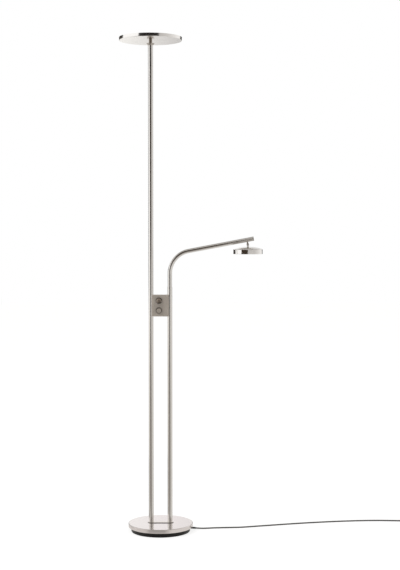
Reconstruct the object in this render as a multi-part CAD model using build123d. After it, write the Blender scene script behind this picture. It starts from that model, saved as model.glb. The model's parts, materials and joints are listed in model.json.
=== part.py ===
from build123d import *
import os
from math import cos, radians, sin, pi, sqrt

os.makedirs("parts", exist_ok=True)

# Torchiere floor lamp with a reading light on a swivelling arm.
# Millimetres, +Z up. The origin is on the floor, midway between the two poles.
# -Y is the front, where the control knobs face, and +X is the side of the arm.

# ---------------------------------------------------------------- driving sizes

# heights above the floor
OVERALL_HEIGHT = 1800.0
POLE_JOINT_Z = 897.0
CONTROL_BOX_Z = 829.5

# clearances
FIT_GAP = 0.05          # a turning or seated cylinder in its bore, radial
FASTENER_GAP = 0.1      # a screw, nipple or bush in its plain hole, radial
SEAT_GAP = 0.3          # loose trays, discs and diffusers in their shells

# poles
POLE_SPACING = 69.0
POLE_OD = 18.0
POLE_WALL = 1.0
POLE_END_CHAMFER = 0.35

# base
FOOT_R = 108.0
FOOT_TOP_Z = 16.5
FOOT_WALL = 2.5
FOOT_FLOOR = 2.5
PAD_MARGIN = 1.0
PAD_T = 1.5
COVER_R = 118.0
COVER_HEIGHT = 14.0
COVER_WALL = 1.2
COVER_EDGE_R = 2.0
WEIGHT_MARGIN = 6.0
FLANGE_END_R = 13.0
FLANGE_T = 2.0

# pole fixings
NIPPLE_R = 5.0
NIPPLE_BORE_R = 3.5
NIPPLE_GRIP = 18.0
NIPPLE_TAIL = 1.5
INSERT_LENGTH = 22.0
LEAD_R = 3.2
POLE_NUT_R = 8.0
POLE_NUT_T = 4.5
POLE_WASHER_R = 11.0
POLE_WASHER_T = 1.5
COUPLING_LENGTH = 60.0
COUPLING_BORE_R = 5.5

# foot pan contents
PAN_SCREW_INSET = 16.0
PAN_SCREW_ANGLES = (30.0, 150.0, 270.0)
PAN_SCREW_R = 2.0
PAN_SCREW_HEAD_R = 3.5
PAN_SCREW_HEAD_T = 2.4
PAN_SCREW_GRIP = 8.0
PAN_BOSS_R = 5.5
PAN_BOSS_SHELF = 5.0
DRIVER_SIZE = (80.0, 38.0, 11.0)
DRIVER_XY = (0.0, 46.0)
TERMINAL_SIZE = (28.0, 16.0, 11.0)
TERMINAL_XY = (66.0, 9.0)

# control box
BOX_EDGE_INSET = 5.5
BOX_HEIGHT = 79.0
BOX_DEPTH = 22.0
BOX_WALL = 1.5
BOX_EDGE_R = 0.6
BOX_SIDE_WALL = 1.8
BOX_SCREW_RISE = 33.0
BOX_SCREW_R = 1.25
BOX_SCREW_HEAD_R = 2.3
BOX_SCREW_HEAD_T = 1.3
BOX_SCREW_LENGTH = 9.0
BOX_BOSS_R = 3.0
BOARD_SIZE = (40.0, 1.6, 56.0)
SIDE_SCREW_Z = 804.0
SIDE_SCREW_R = 1.5
SIDE_SCREW_HEAD_R = 2.8
SIDE_SCREW_HEAD_T = 1.6
SIDE_SCREW_TIP = 2.5

# dimmers and knobs
KNOB_X = -5.0
UPPER_KNOB_Z = 848.0
LOWER_KNOB_Z = 812.0
KNOB_R = 11.4
KNOB_DEPTH = 12.5
KNOB_EDGE_R = 2.2
KNOB_LIFT = 0.5
KNOB_SKIRT_R = 7.0
KNOB_SKIRT_DEPTH = 2.8
KNOB_FACE_T = 2.0
DIMMER_SIZE = (13.0, 7.0, 14.0)
DIMMER_BUSH_R = 3.5
DIMMER_BUSH_PROUD = 2.0
DIMMER_SHAFT_R = 3.0
DIMMER_NUT_R = 5.8
DIMMER_NUT_T = 1.6
DIMMER_BACK_T = 1.2

# top light
TOP_R = 113.5
TOP_RIM = 11.8
TOP_WALL = 1.2
TOP_EDGE_R = 1.0
TOP_DIFFUSER_T = 2.2
TOP_DIFFUSER_DROP = 0.8
TOP_SUPPORT_WIDTH = 3.7
TOP_SPREADER_MARGIN = 8.5
TOP_SPREADER_BORE_R = 14.0
TOP_SPREADER_T = 2.0
TOP_BOARD_MARGIN = 5.0
TOP_BOARD_BORE_R = 18.0
BOARD_T = 1.6
LED_SIZE = (3.5, 2.8, 0.7)
TOP_LED_INSETS = ((45.0, 16), (17.0, 24))
NECK_LENGTH = 9.2
NECK_SLEEVE_R = 6.0
NECK_NUT_R = 8.0
NECK_NUT_T = 4.0
NECK_FLANGE_R = 10.0
NECK_FLANGE_T = 1.2
COLLAR_R = 14.0
COLLAR_HEIGHT = 7.5
COLLAR_LIP = 1.6
COLLAR_SPIGOT = 20.0

# arm
ARM_WALL = 1.0
ARM_BEND_R = 84.0
ARM_CORNER_Z = 1015.5
ARM_RISE = 10.75
ARM_REACH = 305.5
ARM_INSERTION = 60.0
ARM_STOP_LENGTH = 14.0
ARM_STOP_BORE_R = 4.5
END_CAP_T = 1.5
END_CAP_SPIGOT = 8.0

# knuckle between the arm and the reading light
PIN_FROM_END = 25.0
PIVOT_DROP = 20.0
PIN_R = 3.0
PIN_BORE_R = 1.25
PIN_NUT_R = 4.5
PIN_NUT_T = 3.8
FORK_R = 4.0
FORK_DEPTH = 9.0
FORK_HEIGHT = 6.5
FORK_SLOT_RISE = 4.4
TONGUE_T = 3.0
TONGUE_R = 3.8
TONGUE_GAP = 0.2
TILT_SCREW_R = 1.5
TILT_HEAD_R = 2.9
TILT_HEAD_T = 1.6
TILT_NUT_R = 3.1
TILT_NUT_T = 2.0

# reading light
STEM_DROP = 7.4
STEM_NECK_R = 3.2
STEM_NECK_TOP = 4.6
STEM_FLANGE_R = 5.5
STEM_FLANGE_T = 1.2
STEM_THREAD = 5.5
STEM_NUT_R = 5.5
STEM_NUT_T = 3.0
READING_R = 53.2
READING_DOME = 10.9
READING_RIM = 13.5
READING_WALL = 1.0
READING_FLAT_R = 6.5
READING_DIFFUSER_T = 2.0
READING_DIFFUSER_DROP = 0.8
READING_RING_WIDTH = 3.6
READING_RING_HEIGHT = 6.5
READING_SINK_T = 3.0
READING_BOARD_MARGIN = 4.5
READING_LED_INSETS = ((28.0, 6), (10.0, 12))

# mains cord, strain relief and plug
CORD_R = 2.6
EXIT_ANGLE = 7.0
EXIT_OVER_PAN = 0.4
RELIEF_LENGTH = 22.0
RELIEF_DIP = 6.3
RELIEF_NECK_WALL = 0.7
RELIEF_BASE_WALL = 1.8
RELIEF_TIP_WALL = 0.5
RELIEF_FLANGE_T = 2.5
RELIEF_FLANGE_WIDTH = 12.0
CORD_FIRST_RUN = 18.0
FLOOR_CORD_Z = CORD_R + 0.05

# put-away coil
COIL_X = 955.0
COIL_Y = 97.0
COIL_TURNS = 3
COIL_MEAN_R = 29.5
COIL_GAP = 0.65
COIL_TAIL = 30.0
TIE_T = 0.6
TIE_WIDTH = 7.0
TIE_SIDE_GAP = 0.6
TIE_LEVEL_GAP = 0.15
TIE_FLOOR_GAP = 0.15

# flat two-pin plug
PLUG_LENGTH = 30.0
PLUG_WIDTH = 35.0
PLUG_REAR_WIDTH = 20.0
PLUG_T = 13.8
PLUG_EDGE_R = 2.5
PLUG_BOOT_LENGTH = 26.0
PLUG_BOOT_TIP_WALL = 0.8
PLUG_BOOT_BASE_WALL = 2.8
PIN_SPACING = 18.6
PLUG_PIN_R = 2.0
PLUG_PIN_LENGTH = 19.0
PLUG_PIN_ROOT = 6.0

# ---------------------------------------------------------------- worked-out sizes

LEFT_X = -POLE_SPACING / 2
RIGHT_X = POLE_SPACING / 2
POLE_R = POLE_OD / 2
POLE_BORE_R = POLE_R - POLE_WALL
INSERT_R = POLE_BORE_R - FIT_GAP

COVER_TOP_Z = FOOT_TOP_Z + COVER_HEIGHT
WEIGHT_TOP_Z = COVER_TOP_Z - COVER_WALL
POLE_FOOT_Z = COVER_TOP_Z + FLANGE_T
PAN_FLOOR_Z = PAD_T + FOOT_FLOOR
PAD_R = FOOT_R - PAD_MARGIN
WEIGHT_R = COVER_R - WEIGHT_MARGIN
PAN_SCREW_CIRCLE_R = FOOT_R - PAN_SCREW_INSET

TOP_FLOOR_Z = OVERALL_HEIGHT - TOP_RIM + TOP_WALL
COLLAR_TOP_Z = OVERALL_HEIGHT - TOP_RIM - NECK_LENGTH
POLE_TOP_Z = COLLAR_TOP_Z - COLLAR_HEIGHT
DIFFUSER_SEAT_Z = OVERALL_HEIGHT - TOP_DIFFUSER_DROP - TOP_DIFFUSER_T
TOP_SUPPORT_R = TOP_R - TOP_WALL - FASTENER_GAP
TOP_SPREADER_R = TOP_SUPPORT_R - TOP_SUPPORT_WIDTH - TOP_SPREADER_MARGIN
TOP_BOARD_R = TOP_SPREADER_R - TOP_BOARD_MARGIN

ARM_R = POLE_BORE_R - FIT_GAP
ARM_BORE_R = ARM_R - ARM_WALL
ARM_FOOT_Z = POLE_JOINT_Z - ARM_INSERTION

BOX_WIDTH = POLE_SPACING - 2 * BOX_EDGE_INSET
BOX_CAVITY_WIDTH = POLE_SPACING - 2 * (POLE_R + FASTENER_GAP + BOX_SIDE_WALL)
BOX_FRONT_Y = -BOX_DEPTH / 2
BOX_BACK_Y = BOX_DEPTH / 2
BOX_CAVITY_FRONT_Y = BOX_FRONT_Y + BOX_WALL
BOX_COVER_Y = BOX_BACK_Y - BOX_WALL

RELIEF_NECK_R = CORD_R + RELIEF_NECK_WALL
RELIEF_BASE_R = CORD_R + RELIEF_BASE_WALL
RELIEF_TIP_R = CORD_R + RELIEF_TIP_WALL
EXIT_Z = PAN_FLOOR_Z + EXIT_OVER_PAN + RELIEF_NECK_R


# ---------------------------------------------------------------- shape helpers

def keep(node, *solids):
    """Writes one node, which may be a group of separate solids."""
    shape = solids[0] if len(solids) == 1 else Compound(children=list(solids))
    export_step(shape, f"parts/{node}.step")


def rod(radius, low, high, x=0.0, y=0.0):
    """An upright cylinder between two heights."""
    return Pos(x, y, (low + high) / 2) * Cylinder(radius, high - low)


def tube(outer, inner, low, high, x=0.0, y=0.0):
    """An upright tube, ring or holed disc."""
    return rod(outer, low, high, x, y) - rod(inner, low, high, x, y)


def hex_nut(corner_r, bore_r, low, high, x=0.0, y=0.0):
    """An upright hexagonal nut."""
    body = extrude(RegularPolygon(corner_r, 6), high - low)
    return Pos(x, y, low) * body - rod(bore_r, low, high, x, y)


def block(size, low_z, x, y):
    """A box that stands on a height."""
    return Pos(x, y, low_z + size[2] / 2) * Box(*size)


def front_rod(radius, near_y, far_y, x, z):
    """A cylinder along Y between two depths."""
    return Pos(x, (near_y + far_y) / 2, z) * Rot(90, 0, 0) * Cylinder(radius, far_y - near_y)


def ring_of(shape, radius, count):
    """Copies of a shape, evenly spaced on a circle about Z."""
    return [Rot(0, 0, 360.0 * i / count) * Pos(radius, 0, 0) * shape for i in range(count)]


# ---------------------------------------------------------------- base

def make_foot_pad():
    keep("foot_pad", rod(PAD_R, 0, PAD_T))


def pan_screw_places():
    return [
        (PAN_SCREW_CIRCLE_R * cos(radians(a)), PAN_SCREW_CIRCLE_R * sin(radians(a)))
        for a in PAN_SCREW_ANGLES
    ]


def make_foot_pan():
    pan = rod(FOOT_R, PAD_T, FOOT_TOP_Z)
    pan -= rod(FOOT_R - FOOT_WALL, PAN_FLOOR_Z, FOOT_TOP_Z)
    pan = fillet(pan.edges().group_by(Axis.Z)[0], PAD_MARGIN * 0.6)
    for x, y in pan_screw_places():
        pan += rod(PAN_BOSS_R, PAD_T, FOOT_TOP_Z, x, y)
        pan -= rod(PAN_SCREW_R + FASTENER_GAP, PAD_T, FOOT_TOP_Z, x, y)
        pan -= rod(PAN_SCREW_HEAD_R + SEAT_GAP, PAD_T, PAN_BOSS_SHELF, x, y)
    exit_hole = Rot(0, 90, 0) * Cylinder(RELIEF_NECK_R + FASTENER_GAP, 4 * FOOT_WALL)
    pan -= Rot(0, 0, EXIT_ANGLE) * Pos(FOOT_R - FOOT_WALL / 2, 0, EXIT_Z) * exit_hole
    keep("foot_pan", pan)


def make_pan_screws():
    screws = []
    for x, y in pan_screw_places():
        head = rod(PAN_SCREW_HEAD_R, PAN_BOSS_SHELF - PAN_SCREW_HEAD_T, PAN_BOSS_SHELF, x, y)
        shank = rod(PAN_SCREW_R, PAN_BOSS_SHELF, FOOT_TOP_Z + PAN_SCREW_GRIP, x, y)
        screws.append(head + shank)
    keep("pan_screws", *screws)


def make_base_weight():
    plate = rod(WEIGHT_R, FOOT_TOP_Z, WEIGHT_TOP_Z)
    for x in (LEFT_X, RIGHT_X):
        plate -= rod(NIPPLE_R + FASTENER_GAP, FOOT_TOP_Z, WEIGHT_TOP_Z, x)
    for x, y in pan_screw_places():
        plate -= rod(PAN_SCREW_R + FIT_GAP, FOOT_TOP_Z, FOOT_TOP_Z + PAN_SCREW_GRIP + 1, x, y)
    keep("base_weight", plate)


def make_base_cover():
    outer = rod(COVER_R, FOOT_TOP_Z, COVER_TOP_Z)
    outer = fillet(outer.edges().group_by(Axis.Z)[-1], COVER_EDGE_R)
    inner = rod(COVER_R - COVER_WALL, FOOT_TOP_Z, WEIGHT_TOP_Z)
    inner = fillet(inner.edges().group_by(Axis.Z)[-1], COVER_EDGE_R - COVER_WALL)
    cover = outer - inner
    for x in (LEFT_X, RIGHT_X):
        cover -= rod(NIPPLE_R + FASTENER_GAP, WEIGHT_TOP_Z, COVER_TOP_Z, x)
    keep("base_cover", cover)


def make_flange_plate():
    plate = extrude(SlotCenterToCenter(POLE_SPACING, 2 * FLANGE_END_R), FLANGE_T)
    plate = Pos(0, 0, COVER_TOP_Z) * plate
    plate = chamfer(plate.edges().group_by(Axis.Z)[-1], FLANGE_T * 0.15)
    for x in (LEFT_X, RIGHT_X):
        plate -= rod(NIPPLE_R + FASTENER_GAP, COVER_TOP_Z, POLE_FOOT_Z, x)
    keep("flange_plate", plate)


def make_pole_fixings():
    washer_z = FOOT_TOP_Z - POLE_WASHER_T
    nut_z = washer_z - POLE_NUT_T
    inserts, nipples, nuts, washers = [], [], [], []
    for x in (LEFT_X, RIGHT_X):
        inserts.append(tube(INSERT_R, NIPPLE_R + FIT_GAP, POLE_FOOT_Z, POLE_FOOT_Z + INSERT_LENGTH, x))
        nipple_top = POLE_FOOT_Z + NIPPLE_GRIP
        nipples.append(tube(NIPPLE_R, NIPPLE_BORE_R, nut_z - NIPPLE_TAIL, nipple_top, x))
        nuts.append(hex_nut(POLE_NUT_R, NIPPLE_R + FIT_GAP, nut_z, washer_z, x))
        washers.append(tube(POLE_WASHER_R, NIPPLE_R + FASTENER_GAP, washer_z, FOOT_TOP_Z, x))
    keep("pole_inserts", *inserts)
    keep("pole_nipples", *nipples)
    keep("pole_nuts", *nuts)
    keep("pole_washers", *washers)


def make_pan_contents():
    driver = block(DRIVER_SIZE, PAN_FLOOR_Z, *DRIVER_XY)
    keep("led_driver", fillet(driver.edges().filter_by(Axis.Z), 2.0))
    terminal = block(TERMINAL_SIZE, PAN_FLOOR_Z, *TERMINAL_XY)
    wire_r = 1.6
    wire_z = PAN_FLOOR_Z + TERMINAL_SIZE[2] * 0.4
    for y in (-TERMINAL_SIZE[1] / 4, TERMINAL_SIZE[1] / 4):
        way = Rot(0, 90, 0) * Cylinder(wire_r, TERMINAL_SIZE[0] + 2)
        terminal -= Pos(TERMINAL_XY[0], TERMINAL_XY[1] + y, wire_z) * way
    keep("terminal_block", terminal)


# ---------------------------------------------------------------- poles

def pole(low, high, x, bevel_ends):
    """A pole tube, its outer edge broken at the ends named by +1 (top) and -1 (foot)."""
    body = rod(POLE_R, low, high, x)
    for end in bevel_ends:
        edge = body.edges().group_by(Axis.Z)[-1 if end > 0 else 0]
        body = chamfer(edge, POLE_END_CHAMFER)
    return body - rod(POLE_BORE_R, low, high, x)


def make_poles():
    side_hole_r = SIDE_SCREW_R + FASTENER_GAP
    left = pole(POLE_FOOT_Z, POLE_JOINT_Z, LEFT_X, (1,))
    right = pole(POLE_FOOT_Z, POLE_JOINT_Z, RIGHT_X, (1,))
    hole = Rot(0, 90, 0) * Cylinder(side_hole_r, 4 * POLE_WALL)
    left -= Pos(LEFT_X + POLE_R, 0, SIDE_SCREW_Z) * hole
    right -= Pos(RIGHT_X - POLE_R, 0, SIDE_SCREW_Z) * hole
    keep("left_lower_pole", left)
    keep("right_lower_pole", right)
    keep("left_upper_pole", pole(POLE_JOINT_Z, POLE_TOP_Z, LEFT_X, (-1,)))
    half = COUPLING_LENGTH / 2
    coupling = tube(INSERT_R, COUPLING_BORE_R, POLE_JOINT_Z - half, POLE_JOINT_Z + half, LEFT_X)
    keep("pole_coupling", coupling)
    stop_top = ARM_FOOT_Z - SEAT_GAP
    keep("arm_stop", tube(INSERT_R, ARM_STOP_BORE_R, stop_top - ARM_STOP_LENGTH, stop_top, RIGHT_X))


# ---------------------------------------------------------------- control box

def box_screw_heights():
    return (CONTROL_BOX_Z - BOX_SCREW_RISE, CONTROL_BOX_Z + BOX_SCREW_RISE)


def pole_saddles():
    """What the box leaves free for the two poles."""
    low = CONTROL_BOX_Z - BOX_HEIGHT
    high = CONTROL_BOX_Z + BOX_HEIGHT
    return [rod(POLE_R + FASTENER_GAP, low, high, x) for x in (LEFT_X, RIGHT_X)]


def make_control_box():
    box = Pos(0, 0, CONTROL_BOX_Z) * Box(BOX_WIDTH, BOX_DEPTH, BOX_HEIGHT)
    box = fillet(box.edges(), BOX_EDGE_R)
    cavity_depth = BOX_BACK_Y - BOX_CAVITY_FRONT_Y
    cavity = Box(BOX_CAVITY_WIDTH, cavity_depth, BOX_HEIGHT - 2 * BOX_WALL)
    box -= Pos(0, (BOX_BACK_Y + BOX_CAVITY_FRONT_Y) / 2, CONTROL_BOX_Z) * cavity
    for saddle in pole_saddles():
        box -= saddle
    for z in box_screw_heights():
        box += front_rod(BOX_BOSS_R, BOX_CAVITY_FRONT_Y - BOX_WALL / 2, BOX_COVER_Y, 0, z)
        box -= front_rod(BOX_SCREW_R + FIT_GAP, BOX_COVER_Y - BOX_SCREW_LENGTH, BOX_COVER_Y, 0, z)
    for z in (UPPER_KNOB_Z, LOWER_KNOB_Z):
        box -= front_rod(DIMMER_BUSH_R + FASTENER_GAP, BOX_FRONT_Y, BOX_CAVITY_FRONT_Y, KNOB_X, z)
    side_way = Rot(0, 90, 0) * Cylinder(SIDE_SCREW_R + FASTENER_GAP, BOX_WIDTH)
    box -= Pos(0, 0, SIDE_SCREW_Z) * side_way
    keep("control_box", box)

    width = BOX_CAVITY_WIDTH - SEAT_GAP
    height = BOX_HEIGHT - 2 * BOX_WALL - SEAT_GAP
    cover = Pos(0, (BOX_COVER_Y + BOX_BACK_Y) / 2, CONTROL_BOX_Z) * Box(width, BOX_WALL, height)
    for z in box_screw_heights():
        cover -= front_rod(BOX_SCREW_R + FASTENER_GAP, BOX_COVER_Y, BOX_BACK_Y, 0, z)
    keep("control_box_cover", cover)


def make_box_screws():
    screws = []
    for z in box_screw_heights():
        head = front_rod(BOX_SCREW_HEAD_R, BOX_BACK_Y, BOX_BACK_Y + BOX_SCREW_HEAD_T, 0, z)
        head = fillet(head.edges().group_by(Axis.Y)[-1], BOX_SCREW_HEAD_T * 0.6)
        tip = BOX_COVER_Y - BOX_SCREW_LENGTH + 1
        screws.append(head + front_rod(BOX_SCREW_R, tip, BOX_BACK_Y, 0, z))
    keep("control_box_screws", *screws)

    wall_x = BOX_CAVITY_WIDTH / 2
    tip_x = RIGHT_X - POLE_BORE_R + SIDE_SCREW_TIP
    head = Cylinder(SIDE_SCREW_HEAD_R, SIDE_SCREW_HEAD_T)
    shank = Cylinder(SIDE_SCREW_R, tip_x - wall_x)
    right = Pos(wall_x - SIDE_SCREW_HEAD_T / 2, 0, SIDE_SCREW_Z) * Rot(0, 90, 0) * head
    right += Pos((wall_x + tip_x) / 2, 0, SIDE_SCREW_Z) * Rot(0, 90, 0) * shank
    keep("box_side_screws", right, Rot(0, 0, 180) * right)


def make_dimmers():
    board_y = BOX_CAVITY_FRONT_Y + DIMMER_SIZE[1]
    board = Pos(0, board_y + BOARD_SIZE[1] / 2, CONTROL_BOX_Z) * Box(*BOARD_SIZE)
    keep("dimmer_board", board)
    bush_tip = BOX_FRONT_Y - DIMMER_BUSH_PROUD
    knob_back = BOX_FRONT_Y - KNOB_LIFT
    knob_front = knob_back - KNOB_DEPTH
    bore_back = board_y - DIMMER_BACK_T
    bodies, nuts = [], []
    for name, z in (("upper", UPPER_KNOB_Z), ("lower", LOWER_KNOB_Z)):
        body = Pos(KNOB_X, BOX_CAVITY_FRONT_Y + DIMMER_SIZE[1] / 2, z) * Box(*DIMMER_SIZE)
        body += front_rod(DIMMER_BUSH_R, bush_tip, BOX_CAVITY_FRONT_Y, KNOB_X, z)
        body -= front_rod(DIMMER_SHAFT_R + FIT_GAP, bush_tip, bore_back, KNOB_X, z)
        bodies.append(body)

        nut = hex_nut(DIMMER_NUT_R, DIMMER_BUSH_R + FIT_GAP, 0, DIMMER_NUT_T)
        nuts.append(Pos(KNOB_X, BOX_FRONT_Y, z) * Rot(90, 0, 0) * nut)

        shaft_tip = knob_front + KNOB_FACE_T + SEAT_GAP
        shaft = front_rod(DIMMER_SHAFT_R, shaft_tip, bore_back - SEAT_GAP, KNOB_X, z)
        keep(f"{name}_dimmer_shaft", shaft)

        knob = front_rod(KNOB_R, knob_front, knob_back, KNOB_X, z)
        knob = fillet(knob.edges().group_by(Axis.Y)[0], KNOB_EDGE_R)
        knob -= front_rod(KNOB_SKIRT_R, knob_back - KNOB_SKIRT_DEPTH, knob_back, KNOB_X, z)
        knob -= front_rod(DIMMER_SHAFT_R + FIT_GAP, knob_front + KNOB_FACE_T, knob_back, KNOB_X, z)
        keep(f"{name}_knob", knob)
    keep("dimmers", *bodies)
    keep("dimmer_nuts", *nuts)


# ---------------------------------------------------------------- top light

def make_neck():
    lip_z = COLLAR_TOP_Z - COLLAR_LIP
    flare = Cone(POLE_R, COLLAR_R, lip_z - POLE_TOP_Z)
    collar = Pos(LEFT_X, 0, (POLE_TOP_Z + lip_z) / 2) * flare
    collar += rod(COLLAR_R, lip_z, COLLAR_TOP_Z, LEFT_X)
    collar += rod(INSERT_R, POLE_TOP_Z - COLLAR_SPIGOT, POLE_TOP_Z, LEFT_X)
    collar -= rod(NIPPLE_R + FIT_GAP, POLE_TOP_Z - COLLAR_SPIGOT, COLLAR_TOP_Z, LEFT_X)
    keep("pole_collar", collar)

    under_z = OVERALL_HEIGHT - TOP_RIM
    keep("neck_sleeve", tube(NECK_SLEEVE_R, NIPPLE_R + FASTENER_GAP, COLLAR_TOP_Z, under_z, LEFT_X))
    flange_top = TOP_FLOOR_Z + NECK_FLANGE_T
    nut_top = flange_top + NECK_NUT_T
    nut = hex_nut(NECK_NUT_R, NIPPLE_R + FIT_GAP, flange_top, nut_top, LEFT_X)
    keep("neck_nut", nut + tube(NECK_FLANGE_R, NIPPLE_R + FIT_GAP, TOP_FLOOR_Z, flange_top, LEFT_X))
    low = POLE_TOP_Z - COLLAR_SPIGOT + 2
    keep("head_neck", tube(NIPPLE_R, NIPPLE_BORE_R, low, nut_top + 1, LEFT_X))


def led_group(board_r, insets, low_z):
    """Rings of light chips, each set in from the board's edge."""
    chips = []
    for inset, count in insets:
        chip = Pos(0, 0, low_z + LED_SIZE[2] / 2) * Box(*LED_SIZE)
        chips += ring_of(chip, board_r - inset, count)
    return chips


def make_top_light():
    pan = rod(TOP_R, OVERALL_HEIGHT - TOP_RIM, OVERALL_HEIGHT, LEFT_X)
    pan = fillet(pan.edges().group_by(Axis.Z)[0], TOP_EDGE_R)
    pan -= rod(TOP_R - TOP_WALL, TOP_FLOOR_Z, OVERALL_HEIGHT, LEFT_X)
    pan -= rod(NIPPLE_R + FASTENER_GAP, OVERALL_HEIGHT - TOP_RIM, TOP_FLOOR_Z, LEFT_X)
    keep("top_pan", pan)

    support_bore = TOP_SUPPORT_R - TOP_SUPPORT_WIDTH
    support = tube(TOP_SUPPORT_R, support_bore, TOP_FLOOR_Z, DIFFUSER_SEAT_Z, LEFT_X)
    keep("diffuser_support", support)
    spreader_top = TOP_FLOOR_Z + TOP_SPREADER_T
    keep("top_heat_spreader", tube(TOP_SPREADER_R, TOP_SPREADER_BORE_R, TOP_FLOOR_Z, spreader_top, LEFT_X))
    board_top = spreader_top + BOARD_T
    keep("top_led_board", tube(TOP_BOARD_R, TOP_BOARD_BORE_R, spreader_top, board_top, LEFT_X))
    chips = led_group(TOP_BOARD_R, TOP_LED_INSETS, board_top)
    keep("top_leds", *[Pos(LEFT_X, 0, 0) * chip for chip in chips])
    diffuser_r = TOP_R - TOP_WALL - SEAT_GAP
    diffuser = rod(diffuser_r, DIFFUSER_SEAT_Z, DIFFUSER_SEAT_Z + TOP_DIFFUSER_T, LEFT_X)
    keep("top_diffuser", fillet(diffuser.edges().group_by(Axis.Z)[-1], TOP_DIFFUSER_T * 0.3))


# ---------------------------------------------------------------- arm and knuckle

ARM_U = Vector(cos(radians(ARM_RISE)), 0, sin(radians(ARM_RISE)))
ARM_UP = Vector(-sin(radians(ARM_RISE)), 0, cos(radians(ARM_RISE)))
ARM_CORNER = Vector(RIGHT_X, 0, ARM_CORNER_Z)
ARM_TIP = ARM_CORNER + ARM_U * (ARM_REACH / cos(radians(ARM_RISE)))
TUBE_TIP = ARM_TIP - ARM_U * END_CAP_T
PIN_TOP = ARM_TIP - ARM_U * PIN_FROM_END
PIVOT = PIN_TOP - ARM_UP * PIVOT_DROP

# frames whose Z runs along the arm's end, and up the knuckle pin from the pivot
TIP_FRAME = Plane(origin=TUBE_TIP, x_dir=(0, 1, 0), z_dir=ARM_U)
KNUCKLE_FRAME = Plane(origin=PIVOT, x_dir=ARM_U, z_dir=ARM_UP)


def make_arm():
    path = FilletPolyline((RIGHT_X, 0, ARM_FOOT_Z), ARM_CORNER, TUBE_TIP, radius=ARM_BEND_R)
    section = Circle(ARM_R) - Circle(ARM_BORE_R)
    arm = sweep(Pos(RIGHT_X, 0, ARM_FOOT_Z) * section, path=path)
    pin_way = rod(PIN_R + FIT_GAP, PIVOT_DROP - ARM_R - 1, PIVOT_DROP)
    arm -= KNUCKLE_FRAME.location * pin_way
    keep("arm_tube", arm)

    cap = fillet(rod(ARM_R, 0, END_CAP_T).edges().group_by(Axis.Z)[-1], END_CAP_T * 0.3)
    cap += rod(ARM_BORE_R - FIT_GAP, -END_CAP_SPIGOT, 0)
    keep("arm_end_cap", TIP_FRAME.location * cap)


def make_leads():
    """The supply leads in the poles, and the one that turns with the arm."""
    low = FOOT_TOP_Z - POLE_WASHER_T - POLE_NUT_T - NIPPLE_TAIL
    left = rod(LEAD_R, low, TOP_FLOOR_Z + NECK_FLANGE_T + NECK_NUT_T, LEFT_X)
    keep("pole_leads", left, rod(LEAD_R, low, ARM_FOOT_Z, RIGHT_X))
    start_z = ARM_FOOT_Z + SEAT_GAP
    end = PIN_TOP - ARM_U * (PIN_NUT_R + SEAT_GAP)
    path = FilletPolyline((RIGHT_X, 0, start_z), ARM_CORNER, end, radius=ARM_BEND_R)
    keep("arm_lead", sweep(Pos(RIGHT_X, 0, start_z) * Circle(LEAD_R), path=path))


def along_y(radius, near, far):
    return Pos(0, (near + far) / 2, 0) * Rot(90, 0, 0) * Cylinder(radius, far - near)


def make_knuckle():
    cheek = FORK_DEPTH / 2
    slot = TONGUE_T + 2 * TONGUE_GAP
    fork = along_y(FORK_R, -cheek, cheek)
    fork += Pos(0, 0, FORK_HEIGHT / 2) * Box(2 * FORK_R, FORK_DEPTH, FORK_HEIGHT)
    fork = chamfer(fork.edges().group_by(Axis.Z)[-1], 0.8)
    pin_end = PIVOT_DROP + 2.0
    fork += rod(PIN_R, FORK_HEIGHT - 0.5, pin_end)
    slot_depth = FORK_SLOT_RISE + FORK_R + 1
    fork -= Pos(0, 0, FORK_SLOT_RISE - slot_depth / 2) * Box(3 * FORK_R, slot, slot_depth)
    fork -= rod(PIN_BORE_R, 0, pin_end)
    fork -= along_y(TILT_SCREW_R + FIT_GAP, -cheek, cheek)
    keep("knuckle_pin", KNUCKLE_FRAME.location * fork)

    nut_low = PIVOT_DROP - sqrt(ARM_BORE_R ** 2 - PIN_NUT_R ** 2) + SEAT_GAP
    nut = hex_nut(PIN_NUT_R, PIN_R + FIT_GAP, nut_low, nut_low + PIN_NUT_T)
    keep("pin_nut", KNUCKLE_FRAME.location * nut)

    screw = along_y(TILT_HEAD_R, -cheek - TILT_HEAD_T, -cheek)
    screw = fillet(screw.edges().group_by(Axis.Y)[0], TILT_HEAD_T * 0.5)
    screw -= Pos(0, -cheek - TILT_HEAD_T, 0) * Box(0.8, TILT_HEAD_T, 3 * TILT_HEAD_R)
    screw += along_y(TILT_SCREW_R, -cheek, cheek + TILT_NUT_T)
    keep("tilt_screw", KNUCKLE_FRAME.location * screw)

    tilt_nut = hex_nut(TILT_NUT_R, TILT_SCREW_R + FIT_GAP, 0, TILT_NUT_T)
    tilt_nut = Pos(0, cheek, 0) * Rot(-90, 0, 0) * tilt_nut
    keep("tilt_nut", KNUCKLE_FRAME.location * tilt_nut)


# ---------------------------------------------------------------- reading light

def reading_place(shape):
    """Puts a shape made about the dome's top centre under the knuckle."""
    return Pos(PIVOT.X, 0, PIVOT.Z - STEM_DROP) * shape


def dome_face(radius, flat_r, crown, low):
    """Half the section under a dome whose crown is flat out to flat_r."""
    side_z = -READING_DOME
    sag = (crown - side_z) * 0.72
    mid_r = flat_r + (radius - flat_r) * 0.55
    outline = Polyline((0, low), (0, crown), (flat_r, crown))
    outline += ThreePointArc((flat_r, crown), (mid_r, side_z + sag), (radius, side_z))
    outline += Polyline((radius, side_z), (radius, low), (0, low))
    return Plane.XZ * make_face(outline)


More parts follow.
